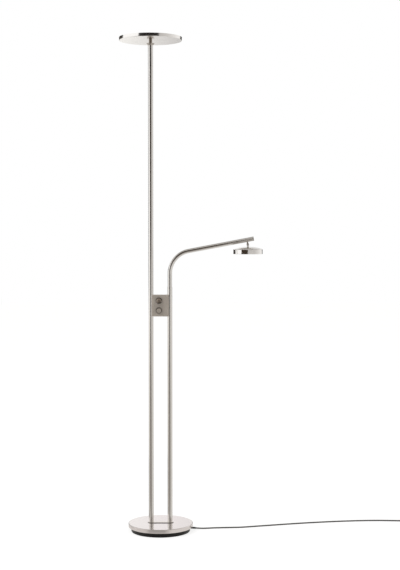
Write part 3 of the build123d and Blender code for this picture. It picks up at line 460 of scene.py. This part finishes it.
def knob_profile():
    """Out of the shaft's bore, round the rim and its groove, up the taper and over to the dished face."""
    edge_along = KNOB_DEPTH - KNOB_EDGE_R
    groove_end = KNOB_RIM + 2 * KNOB_GROOVE
    return [
        (KNOB_BORE_END, 0),
        (KNOB_BORE_END, KNOB_BORE_R),
        (KNOB_HOLLOW_DEPTH, KNOB_BORE_R),
        (KNOB_HOLLOW_DEPTH, KNOB_HOLLOW_R),
        (0, KNOB_HOLLOW_R),
        (0, KNOB_R - KNOB_CHAMFER),
        (KNOB_CHAMFER, KNOB_R),
        (KNOB_RIM, KNOB_R),
        (KNOB_RIM + KNOB_GROOVE / 2, KNOB_R - KNOB_GROOVE),
        (groove_end - KNOB_GROOVE / 2, KNOB_R - KNOB_GROOVE),
        (groove_end, KNOB_R),
        *arc(edge_along, KNOB_FACE_R, KNOB_EDGE_R, 90 - KNOB_TAPER, 0, steps=10),
        (KNOB_DEPTH - KNOB_DISH, KNOB_FACE_R - KNOB_DISH_SLOPE),
        (KNOB_DEPTH - KNOB_DISH, KNOB_FACE_R / 2),
        (KNOB_DEPTH - KNOB_DISH, 0),
    ]


def make_knobs():
    """The two dimmer knobs, each with a ring painted near black as painted shade and a face painted in a
    reflected tone of its own.
    """
    for name, z in KNOB_HEIGHTS.items():
        rings = turned(knob_profile(), Vector((KNOB_X, KNOB_BACK_Y, z)), Vector((0, -1, 0)), segments=96)
        knob = skin(name + "_turned_knob", rings, KNOB_RINGS_PAINTED_SHADE[name], name + "_knob_body")
        knob.data.materials.append(KNOB_FACES_PAINTED_REFLECTION[name].data)
        for polygon in knob.data.polygons:
            off_axis = math.hypot(polygon.center.x - KNOB_X, polygon.center.z - z)
            if off_axis < KNOB_FACE_R and polygon.center.y < KNOB_FACE_FROM_Y:
                polygon.material_index = 1
        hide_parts(name + "_knob")


make_knobs()

# ---------------------------------------------------------------- reading light's shell

SHELL_R = 0.0532
SHELL_WALL = 0.001
SHELL_FLAT_R = 0.0065
SHELL_BORE_R = 0.0031
SHELL_RAISE = 0.0018
SHELL_DROP = 0.0082
SHELL_SHOULDER = 0.003
SHELL_EDGE = 0.0003
SHELL_STEPS = 14


def dome_profile(height, radius, shoulder, foot):
    """Down a dome from its flat crown, round its shoulder and down the wall to a foot."""
    slope = math.atan(2 * SHELL_DROP / (radius - SHELL_FLAT_R))
    last_r = radius - shoulder * (1 - math.sin(slope))
    points = [(height, SHELL_BORE_R)]
    for i in range(SHELL_STEPS + 1):
        share = i / SHELL_STEPS
        points.append((height - SHELL_DROP * share ** 2, SHELL_FLAT_R + (last_r - SHELL_FLAT_R) * share))
    middle = height - SHELL_DROP - shoulder * math.cos(slope)
    points += arc(middle, radius - shoulder, shoulder, math.degrees(slope), 90, steps=10)[1:]
    points.append((foot, radius))
    return points


def make_reading_shell():
    """The reading light's spun shell: a shallow dome, a rounded shoulder and a straight wall."""
    low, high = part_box("reading_shell")
    height = high[2] - low[2] + SHELL_RAISE
    outer = dome_profile(height, SHELL_R, SHELL_SHOULDER, SHELL_EDGE)
    inner = dome_profile(height - SHELL_WALL, SHELL_R - SHELL_WALL, SHELL_SHOULDER - SHELL_WALL, SHELL_EDGE)
    rim = [(0, SHELL_R - SHELL_EDGE), (0, SHELL_R - SHELL_WALL + SHELL_EDGE)]
    profile = outer + rim + inner[::-1] + outer[:1]
    rings = turned(profile, Vector((READING_X, 0, low[2])), Vector((0, 0, 1)), segments=144)
    shell = skin("spun_reading_shell", rings, OWN_FINISH["reading_shell"], "reading_head")
    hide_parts("reading_shell")


make_reading_shell()

# ---------------------------------------------------------------- mains cord

CORD_R = 0.0026

FOOT_R = 0.108
EXIT_ANGLE = math.radians(7.0)
EXIT_Z = 0.0077
RELIEF_DIP = math.radians(6.3)
RELIEF_LENGTH = 0.022
RELIEF_WAY = Vector((
    math.cos(EXIT_ANGLE) * math.cos(RELIEF_DIP),
    math.sin(EXIT_ANGLE) * math.cos(RELIEF_DIP),
    -math.sin(RELIEF_DIP),
))
EXIT_ON_WALL = Vector((FOOT_R * math.cos(EXIT_ANGLE), FOOT_R * math.sin(EXIT_ANGLE), EXIT_Z))
RELIEF_TIP = EXIT_ON_WALL + RELIEF_WAY * RELIEF_LENGTH
FIRST_RUN = 0.018
FLOOR_CORD_Z = 0.00265

COIL_X = 0.955
COIL_Y = 0.097
COIL_Z = 0.0035
COIL_TURNS = 3
COIL_MEAN_R = 0.0295
COIL_PITCH = 0.00585
COIL_TAIL = 0.030
COIL_STEPS = 16
COIL_OUTER_R = COIL_MEAN_R + COIL_PITCH * COIL_TURNS / 2
COIL_INNER_R = COIL_MEAN_R - COIL_PITCH * COIL_TURNS / 2
COIL_START = Vector((COIL_X - 2 * CORD_R, COIL_Y + COIL_OUTER_R, COIL_Z))

CORD_ROUTE = [
    RELIEF_TIP,
    RELIEF_TIP + RELIEF_WAY * FIRST_RUN,
    Vector((0.170, 0.0225, FLOOR_CORD_Z)),
    Vector((0.197, 0.0285, FLOOR_CORD_Z)),
    Vector((0.245, 0.033, FLOOR_CORD_Z)),
    Vector((0.291, 0.036, FLOOR_CORD_Z)),
    Vector((0.327, 0.0455, FLOOR_CORD_Z)),
    Vector((0.362, 0.056, FLOOR_CORD_Z)),
    Vector((0.405, 0.068, FLOOR_CORD_Z)),
    Vector((0.447, 0.080, FLOOR_CORD_Z)),
    Vector((0.520, 0.100, FLOOR_CORD_Z)),
    Vector((0.595, 0.117, FLOOR_CORD_Z)),
    Vector((0.670, 0.131, FLOOR_CORD_Z)),
    Vector((0.745, 0.141, FLOOR_CORD_Z)),
    Vector((0.815, 0.145, FLOOR_CORD_Z)),
    Vector((0.870, 0.142, FLOOR_CORD_Z)),
    Vector((0.915, COIL_START.y, COIL_Z)),
    COIL_START,
]


def coil_turns(start_angle, turns, radius, growth, low, climb):
    """Points of clockwise turns about the coil's middle. The radius grows by an amount a turn."""
    steps = round(turns * COIL_STEPS)
    points = []
    for i in range(1, steps + 1):
        angle = math.radians(start_angle - 360 * turns * i / steps)
        r = radius + growth * turns * i / steps
        z = low + climb * i / steps
        points.append(Vector((COIL_X + r * math.cos(angle), COIL_Y + r * math.sin(angle), z)))
    return points


def coil_points():
    """The coil's turns: in along the floor, up a layer in half a turn, and out again to the plug."""
    points = [Vector((COIL_X, COIL_Y + COIL_OUTER_R, COIL_Z))]
    points += coil_turns(90, COIL_TURNS, COIL_OUTER_R, -COIL_PITCH, COIL_Z, 0)
    points += coil_turns(90, 0.5, COIL_INNER_R, 0, COIL_Z, COIL_PITCH)
    points += coil_turns(-90, COIL_TURNS - 0.25, COIL_INNER_R, COIL_PITCH, COIL_Z + COIL_PITCH, 0)
    last = points[-1]
    points.append(last + Vector((0, -COIL_TAIL / 2, 0)))
    points.append(last + Vector((0, -COIL_TAIL, 0)))
    return points


RELIEF_NECK_IN = 0.0055
RELIEF_NECK_R = 0.0033
RELIEF_BASE_R = 0.0044
RELIEF_TIP_R = 0.0032
RELIEF_COLLAR = 0.001
RELIEF_RIBS = 5

RIB_PITCH = 0.0031
RIB_DEPTH = 0.0007
RIB_SLOPE = 0.0004
RIB_GAP = 0.0007


def ribbed(start, end, base_r, tip_r, ribs):
    """Profile points of a tapered boot between two distances, with grooves that shrink to its tip."""
    def radius(along):
        return base_r + (tip_r - base_r) * (along - start) / (end - start)

    points = [(start, base_r)]
    first = end - ribs * RIB_PITCH
    for i in range(ribs):
        groove = first + i * RIB_PITCH
        depth = RIB_DEPTH * (radius(groove) - CORD_R) / (base_r - CORD_R)
        for along, cut in (
            (0, 0),
            (RIB_SLOPE, depth),
            (RIB_SLOPE + RIB_GAP, depth),
            (2 * RIB_SLOPE + RIB_GAP, 0),
        ):
            points.append((groove + along, radius(groove + along) - cut))
    points.append((end, tip_r))
    return points


def make_strain_relief():
    """The boot that the cord comes out of: a neck through the wall, a collar and ribs to the tip."""
    neck = [(-RELIEF_NECK_IN, 0), (-RELIEF_NECK_IN, RELIEF_NECK_R), (0, RELIEF_NECK_R), (0, RELIEF_BASE_R)]
    profile = neck + ribbed(RELIEF_COLLAR, RELIEF_LENGTH, RELIEF_BASE_R, RELIEF_TIP_R, RELIEF_RIBS)
    profile.append((RELIEF_LENGTH, 0))
    rings = turned(profile, EXIT_ON_WALL, RELIEF_WAY, segments=48)
    boot = skin("ribbed_relief", rings, MATERIALS["black_moulding"], "root")
    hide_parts("strain_relief")
    return boot


PLUG_ENTRY = Vector((0.991812, 0.067, 0.00935))
PLUG_MIDDLE_Z = 0.0069
PLUG_BOOT_LENGTH = 0.026
PLUG_LENGTH = 0.030
PLUG_HALF_WIDTH = 0.0175
PLUG_REAR_HALF_WIDTH = 0.010
PLUG_SHOULDER = 0.0135
PLUG_EDGE = 0.0013
PLUG_BOOT_TIP_R = 0.0034
PLUG_BOOT_BASE_R = 0.0054
PLUG_BOOT_RIBS = 6
PLUG_GRIP_RIBS = 4
PLUG_GRIP_DEPTH = 0.0005
PLUG_GRIP_STEPS = 8
PLUG_SEGMENTS = 96
PLUG_REAR_SHARES = (0.25, 0.6, 0.85, 1.0)
PLUG_FRONT_SHARES = (0.4, 0.75, 0.95, 1.0)

# A plug ring of this fullness is an ellipse. Above it the ring nears a rectangle.
ELLIPSE = 2.0
PLUG_REAR_FULLNESS = 4.5
PLUG_FRONT_FULLNESS = 5.5


def plug_ring(along, half_width, half_height, fullness, middle_z=PLUG_MIDDLE_Z):
    """A ring across the plug, at a distance from where the cord enters its boot."""
    ring = []
    for i in range(PLUG_SEGMENTS):
        a = 2 * math.pi * i / PLUG_SEGMENTS
        x = math.copysign(abs(math.cos(a)) ** (2 / fullness), math.cos(a)) * half_width
        z = math.copysign(abs(math.sin(a)) ** (2 / fullness), math.sin(a)) * half_height
        ring.append(Vector((PLUG_ENTRY.x + x, PLUG_ENTRY.y - along, middle_z + z)))
    return ring


def plug_boot():
    """Rings of the ribbed boot, which sinks from the cord's height to the plug's."""
    profile = ribbed(0, PLUG_BOOT_LENGTH, PLUG_BOOT_BASE_R, PLUG_BOOT_TIP_R, PLUG_BOOT_RIBS)
    rings = []
    for from_base, radius in reversed(profile):
        along = PLUG_BOOT_LENGTH - from_base
        middle_z = PLUG_ENTRY.z + (PLUG_MIDDLE_Z - PLUG_ENTRY.z) * (along / PLUG_BOOT_LENGTH)
        rings.append(plug_ring(along, radius, radius, ELLIPSE, middle_z))
    return rings


def plug_rear():
    """Rings that round out from the boot to the flat plug."""
    rings = []
    for share in PLUG_REAR_SHARES:
        size = math.sqrt(1 - (1 - share) ** 2)
        half_width = PLUG_BOOT_BASE_R + (PLUG_REAR_HALF_WIDTH - PLUG_BOOT_BASE_R) * size
        half_height = PLUG_BOOT_BASE_R + (PLUG_MIDDLE_Z - PLUG_BOOT_BASE_R) * size
        fullness = ELLIPSE + (PLUG_REAR_FULLNESS - ELLIPSE) * share
        rings.append(plug_ring(PLUG_BOOT_LENGTH + PLUG_EDGE * share, half_width, half_height, fullness))
    return rings


def plug_shoulder():
    """Rings that widen along the shoulder, with grip ribs across it."""
    start = PLUG_BOOT_LENGTH + PLUG_EDGE
    steps = PLUG_GRIP_RIBS * PLUG_GRIP_STEPS
    rings = []
    for i in range(1, steps + 1):
        share = i / steps
        widening = (PLUG_HALF_WIDTH - PLUG_REAR_HALF_WIDTH) * math.sin(share * math.pi / 2)
        groove = PLUG_GRIP_DEPTH * (0.5 - 0.5 * math.cos(2 * math.pi * PLUG_GRIP_RIBS * share))
        fullness = PLUG_REAR_FULLNESS + (PLUG_FRONT_FULLNESS - PLUG_REAR_FULLNESS) * share
        half_width = PLUG_REAR_HALF_WIDTH + widening
        rings.append(plug_ring(start + PLUG_SHOULDER * share, half_width, PLUG_MIDDLE_Z - groove, fullness))
    return rings


def plug_front():
    """Rings along the plain front and over its rounded edge to the middle of its face."""
    front = PLUG_BOOT_LENGTH + PLUG_LENGTH
    rings = [plug_ring(front - PLUG_EDGE, PLUG_HALF_WIDTH, PLUG_MIDDLE_Z, PLUG_FRONT_FULLNESS)]
    for share in PLUG_FRONT_SHARES:
        cut = PLUG_EDGE * (1 - math.sqrt(1 - share ** 2))
        along = front - PLUG_EDGE * (1 - share)
        rings.append(plug_ring(along, PLUG_HALF_WIDTH - cut, PLUG_MIDDLE_Z - cut, PLUG_FRONT_FULLNESS))
    rings.append([Vector((PLUG_ENTRY.x, PLUG_ENTRY.y - front, PLUG_MIDDLE_Z))])
    return rings


def make_plug_body():
    """A flat moulded plug: a ribbed boot, a shoulder with grip ribs across it, and a plain front."""
    rings = [[PLUG_ENTRY]] + plug_boot() + plug_rear() + plug_shoulder() + plug_front()
    plug = skin("moulded_plug", rings, MATERIALS["black_moulding"], "root", sharp=50.0)
    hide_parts("plug_body")
    return plug


def make_cord(boot, plug):
    """One cord from the strain relief's tip along the floor and round the coil into the plug."""
    curve = bpy.data.curves.new("mains_lead", "CURVE")
    curve.dimensions = "3D"
    curve.bevel_depth = CORD_R
    curve.bevel_resolution = 6
    curve.resolution_u = 6
    curve.use_fill_caps = True
    points = CORD_ROUTE + coil_points()
    spline = curve.splines.new("NURBS")
    spline.points.add(len(points) - 1)
    for point, place in zip(spline.points, points):
        point.co = (*place, 1)
    spline.order_u = 3
    spline.use_endpoint_u = True
    cord = bpy.data.objects.new("mains_lead", curve)
    curve.materials.append(MATERIALS["cord_sheath"].data)
    bpy.context.collection.objects.link(cord)
    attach(cord, "root")
    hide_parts("mains_cord", "cord_coil")


make_cord(make_strain_relief(), make_plug_body())

# ---------------------------------------------------------------- surroundings

# Azimuths are in degrees about the lamp: 0 is the camera's side, positive is its right.
WHITE = (1.0, 1.0, 1.0)
SURROUND = (
    (-180.0, (0.87, 0.865, 0.86)),
    (-178.3, (1.00, 0.965, 0.985)),
    (-176.5, (0.98, 1.00, 0.985)),
    (-174.0, (1.06, 1.07, 1.06)),
    (-160.0, (1.07, 1.07, 1.07)),
    (-30.0, (1.07, 1.07, 1.07)),
    (25.0, (0.50, 0.485, 0.47)),
    (60.0, (0.62, 0.605, 0.59)),
    (90.0, (0.78, 0.765, 0.75)),
    (120.0, (0.92, 0.91, 0.90)),
    (160.0, (0.92, 0.91, 0.90)),
    (173.0, (0.80, 0.79, 0.78)),
    (180.0, (0.87, 0.865, 0.86)),
)
CEILING_ELEVATIONS = (16.0, 50.0)
CEILING_COLOUR = (0.42, 0.41, 0.40)

# The dark front's left and right edges each go from one azimuth to another between two elevations.
FRONT_ELEVATIONS = (-2.5, 8.5)
FRONT_LEFT = (-32.0, -42.0)
FRONT_RIGHT = (7.0, 34.0)
FRONT_EDGE = 4.0
FRONT_COLOUR = (0.012, 0.010, 0.009)
FRONT_TOP = 13.5
FRONT_TOP_EDGE = 3.0
UPPER_FRONT = (-60.0, 60.0)
UPPER_FRONT_EDGE = 30.0
UPPER_FRONT_COLOUR = (0.56, 0.54, 0.52)

LEFT_FLAG = (-172.0, -118.0)
RIGHT_FLAG = (143.0, 174.0)
FLAG_EDGE = 5.0
FLAG_ELEVATIONS = (-8.0, 11.5)
FLAG_ELEVATION_EDGE = 3.0
FLAG_COLOUR = (0.04, 0.035, 0.03)


def surround_colour(nodes, azimuth, elevation):
    """White, greyer to the right and overhead, with a dark front and two dark flags behind."""
    colour = nodes.ring(azimuth, SURROUND)
    colour = nodes.blend(nodes.span(elevation, CEILING_ELEVATIONS, (0.0, 1.0)), colour, CEILING_COLOUR)
    over_front = nodes.above(elevation, FRONT_TOP, FRONT_TOP_EDGE)
    upper = nodes.times(nodes.within(azimuth, *UPPER_FRONT, UPPER_FRONT_EDGE), over_front)
    colour = nodes.blend(upper, colour, UPPER_FRONT_COLOUR)
    left = nodes.span(elevation, FRONT_ELEVATIONS, FRONT_LEFT)
    right = nodes.span(elevation, FRONT_ELEVATIONS, FRONT_RIGHT)
    front = nodes.times(nodes.within(azimuth, left, right, FRONT_EDGE), nodes.rest(over_front))
    colour = nodes.blend(front, colour, FRONT_COLOUR)
    flags = nodes.plus(*[nodes.within(azimuth, *sides, FLAG_EDGE) for sides in (LEFT_FLAG, RIGHT_FLAG)])
    flags = nodes.times(flags, nodes.within(elevation, *FLAG_ELEVATIONS, FLAG_ELEVATION_EDGE))
    return nodes.blend(flags, colour, FLAG_COLOUR)


def make_world():
    """Surroundings that light the lamp and stand in its metal. The camera sees them white."""
    world = bpy.data.worlds.new("studio")
    bpy.context.scene.world = world
    world.use_nodes = True
    world.node_tree.nodes.clear()
    nodes = Nodes(world.node_tree)
    direction = nodes.add("ShaderNodeTexCoord").outputs["Generated"]
    azimuth = nodes.azimuth(direction)
    elevation = nodes.times(nodes.calc("ARCSINE", nodes.parts(direction)["Z"]), 180 / math.pi)
    seen = nodes.add("ShaderNodeLightPath").outputs["Is Camera Ray"]
    colour = nodes.blend(seen, surround_colour(nodes, azimuth, elevation), WHITE)
    background = nodes.add("ShaderNodeBackground", inputs={"Color": colour, "Strength": 1.0})
    nodes.add("ShaderNodeOutputWorld", inputs={"Surface": background.outputs[0]})


# ---------------------------------------------------------------- stage

FLOOR_HALF = 14.0
FLOOR_COLOUR = (0.93, 0.93, 0.93)
FLOOR_ROUGHNESS = 0.9
FLOOR_SEEN_COLOUR = (0.38, 0.38, 0.38)
FLOOR_LIFT = 0.79


def stage_sheet(name, corners):
    """A flat four-cornered piece of the stage with a node material."""
    mesh = bpy.data.meshes.new(name)
    mesh.from_pydata(corners, [], [(0, 1, 2, 3)])
    material = bpy.data.materials.new(name)
    material.use_nodes = True
    mesh.materials.append(material)
    piece = bpy.data.objects.new(name, mesh)
    bpy.context.collection.objects.link(piece)
    return piece


def mirrored_sheet(name, corners):
    """A piece of the stage that is seen in mirrors alone."""
    piece = stage_sheet(name, corners)
    piece.visible_camera = False
    piece.visible_diffuse = False
    piece.visible_transmission = False
    piece.visible_volume_scatter = False
    piece.visible_shadow = False
    return piece


def level_square(half, z):
    """The corners of a level square about the lamp's middle."""
    return [(-half, -half, z), (half, -half, z), (half, half, z), (-half, half, z)]


def nodes_of(piece):
    return Nodes(piece.data.materials[0].node_tree)


def show(nodes, shader):
    """Joins a shader to its material's output."""
    nodes.fill(nodes.tree.nodes["Material Output"], {"Surface": shader.outputs[0]})


def glow(nodes, strength, colour):
    return nodes.add("ShaderNodeEmission", inputs={"Color": opaque(colour), "Strength": strength})


def make_floor():
    """A pale floor. The camera sees it a little lifted, so that it meets the white surroundings."""
    nodes = nodes_of(stage_sheet("floor", level_square(FLOOR_HALF, 0.0)))
    shader = nodes.tree.nodes["Principled BSDF"]
    nodes.fill(shader, {"Base Color": opaque(FLOOR_COLOUR), "Roughness": FLOOR_ROUGHNESS})
    paper = nodes.add("ShaderNodeBsdfDiffuse", inputs={"Color": opaque(FLOOR_SEEN_COLOUR)})
    lift = glow(nodes, FLOOR_LIFT, WHITE)
    lifted = nodes.add("ShaderNodeAddShader", inputs={0: paper.outputs[0], 1: lift.outputs[0]})
    seen = nodes.add("ShaderNodeLightPath").outputs["Is Camera Ray"]
    inputs = {0: seen, 1: shader.outputs[0], 2: lifted.outputs[0]}
    show(nodes, nodes.add("ShaderNodeMixShader", inputs=inputs))


# The floor card's greys, by azimuth and by reach, the distance from the lamp's middle.
CARD_HALF = 13.0
CARD_LIFT = 0.0002

FOOT_REACH = (0.18, 0.25)
FOOT_FRONT_SIDES = (-33.0, 18.0)
FOOT_FRONT_EDGE = 14.0
FOOT_FRONT_GREYS = (0.56, 0.30)
FOOT_SIDE_GREY = 0.74
FAR_REACH = (1.2, 9.0)
FAR_SIDES = (-60.0, 110.0)
FAR_GREYS = (0.95, 0.74)

BEHIND_FROM = 168.0
BEHIND_EDGE = 4.0
BEHIND_X = (-0.95, -0.05)
BEHIND_GREYS = (1.07, 0.52)

FLAG_SHADOW_REACH = (0.19, 1.5)
FLAG_SHADOW_REACH_EDGE = 0.03
FLAG_SHADOW = 0.85
FOOT_SHADOW_SIDES = (-128.0, -84.0)
FOOT_SHADOW_EDGE = 10.0
FOOT_SHADOW_REACH = (0.195, 0.34)
FOOT_SHADOW_REACH_EDGE = 0.02
FOOT_SHADOW = 0.5

FAN_START = (0.15, 0.5)
FAN_REACH = (2.0, 9.0)
FAN_LEFT = (-68.0, -33.0)
FAN_RIGHT = (30.0, 8.0)
FAN_EDGE = 14.0
FAN_GREYS = (0.31, 0.12)

GLINT_SIDES = (-7.0, 3.0)
GLINT_EDGE = 2.0
GLINT_REACH = 11.0
GLINT_REACH_EDGE = 0.5
GLINT_GREY = 0.80

CARD_TINT = (1.0, 0.98, 0.95)
FAN_TINT = (1.0, 0.93, 0.86)


def card_ground(nodes, azimuth, reach, x):
    """The card's plain greys: round the foot, far out at the sides, and far out behind."""
    foot_front = nodes.within(azimuth, *FOOT_FRONT_SIDES, FOOT_FRONT_EDGE)
    near = nodes.mix(foot_front, FOOT_SIDE_GREY, nodes.span(reach, FOOT_REACH, FOOT_FRONT_GREYS))
    far = nodes.span(reach, FAR_REACH, (0.0, 1.0))
    grey = nodes.mix(far, near, nodes.span(azimuth, FAR_SIDES, FAR_GREYS))
    behind = nodes.times(nodes.above(nodes.calc("ABSOLUTE", azimuth), BEHIND_FROM, BEHIND_EDGE), far)
    return nodes.mix(behind, grey, nodes.span(x, BEHIND_X, BEHIND_GREYS))


def card_shadows(nodes, grey, azimuth, reach):
    """Darkens the card under the left flag and at the foot's left."""
    under_flag = nodes.times(nodes.within(azimuth, *LEFT_FLAG, FLAG_EDGE),
                             nodes.within(reach, *FLAG_SHADOW_REACH, FLAG_SHADOW_REACH_EDGE))
    grey = nodes.times(grey, nodes.rest(nodes.times(under_flag, FLAG_SHADOW)))
    by_foot = nodes.times(nodes.within(azimuth, *FOOT_SHADOW_SIDES, FOOT_SHADOW_EDGE),
                          nodes.within(reach, *FOOT_SHADOW_REACH, FOOT_SHADOW_REACH_EDGE))
    return nodes.times(grey, nodes.rest(nodes.times(by_foot, FOOT_SHADOW)))


def card_fan(nodes, azimuth, reach):
    """1 on the dark fan that spreads from the foot towards the camera, 0 off it."""
    left = nodes.span(reach, FAN_REACH, FAN_LEFT)
    right = nodes.span(reach, FAN_REACH, FAN_RIGHT)
    start = nodes.span(reach, FAN_START, (0.0, 1.0))
    return nodes.times(nodes.within(azimuth, left, right, FAN_EDGE), start)


def make_floor_card():
    """A card on the floor for the metal to mirror: greys, shadows, a dark fan and a glint far in front."""
    nodes = nodes_of(mirrored_sheet("floor_card", level_square(CARD_HALF, CARD_LIFT)))
    place = nodes.add("ShaderNodeTexCoord").outputs["Object"]
    azimuth = nodes.azimuth(place)
    reach = nodes.vector("LENGTH", {0: place}).outputs["Value"]
    grey = card_ground(nodes, azimuth, reach, nodes.parts(place)["X"])
    grey = card_shadows(nodes, grey, azimuth, reach)
    fan = card_fan(nodes, azimuth, reach)
    grey = nodes.mix(fan, grey, nodes.span(reach, FAN_REACH, FAN_GREYS))
    glint = nodes.times(nodes.within(azimuth, *GLINT_SIDES, GLINT_EDGE),
                        nodes.above(reach, GLINT_REACH, GLINT_REACH_EDGE))
    grey = nodes.mix(glint, grey, GLINT_GREY)
    show(nodes, glow(nodes, grey, nodes.blend(fan, CARD_TINT, FAN_TINT)))


READING_CARD_REACH = 0.9
DARK_CARD_SIDES = (-53.0, -3.0)
DARK_CARD_HEIGHTS = (0.95, 1.75)
DARK_CARD_COLOUR = (0.045, 0.033, 0.023)
PALE_CARD_SIDES = (-3.0, 40.0)
PALE_CARD_HEIGHTS = (0.95, 1.10)
PALE_CARD_COLOUR = (0.60, 0.585, 0.57)


def make_reading_card(name, sides, heights, colour):
    """An upright card between two azimuths about the reading light, which only metal mirrors."""
    (x0, y0), (x1, y1) = [
        (READING_X + READING_CARD_REACH * math.sin(a), -READING_CARD_REACH * math.cos(a))
        for a in map(math.radians, sides)
    ]
    low, high = heights
    nodes = nodes_of(mirrored_sheet(name, [(x0, y0, low), (x1, y1, low), (x1, y1, high), (x0, y0, high)]))
    show(nodes, glow(nodes, 1.0, colour))


KEY_PLACE = (-2.4, -2.0, 4.2)
KEY_AIM = (0, 0, 0.8)
KEY_SIDE = 3.0
KEY_POWER = 60.0


def make_key_light():
    """One large soft lamp over the left shoulder of the camera, which the metal doesn't mirror."""
    data = bpy.data.lights.new("key", "AREA")
    data.shape = "RECTANGLE"
    data.size = KEY_SIDE
    data.size_y = KEY_SIDE
    data.energy = KEY_POWER
    key = bpy.data.objects.new("key", data)
    key.location = KEY_PLACE
    key.rotation_euler = (Vector(KEY_AIM) - key.location).to_track_quat("-Z", "Y").to_euler()
    key.visible_glossy = False
    bpy.context.collection.objects.link(key)


make_world()
make_floor()
make_floor_card()
make_reading_card("dark_card", DARK_CARD_SIDES, DARK_CARD_HEIGHTS, DARK_CARD_COLOUR)
make_reading_card("pale_card", PALE_CARD_SIDES, PALE_CARD_HEIGHTS, PALE_CARD_COLOUR)
make_key_light()

bpy.context.scene.view_settings.view_transform = "Standard"
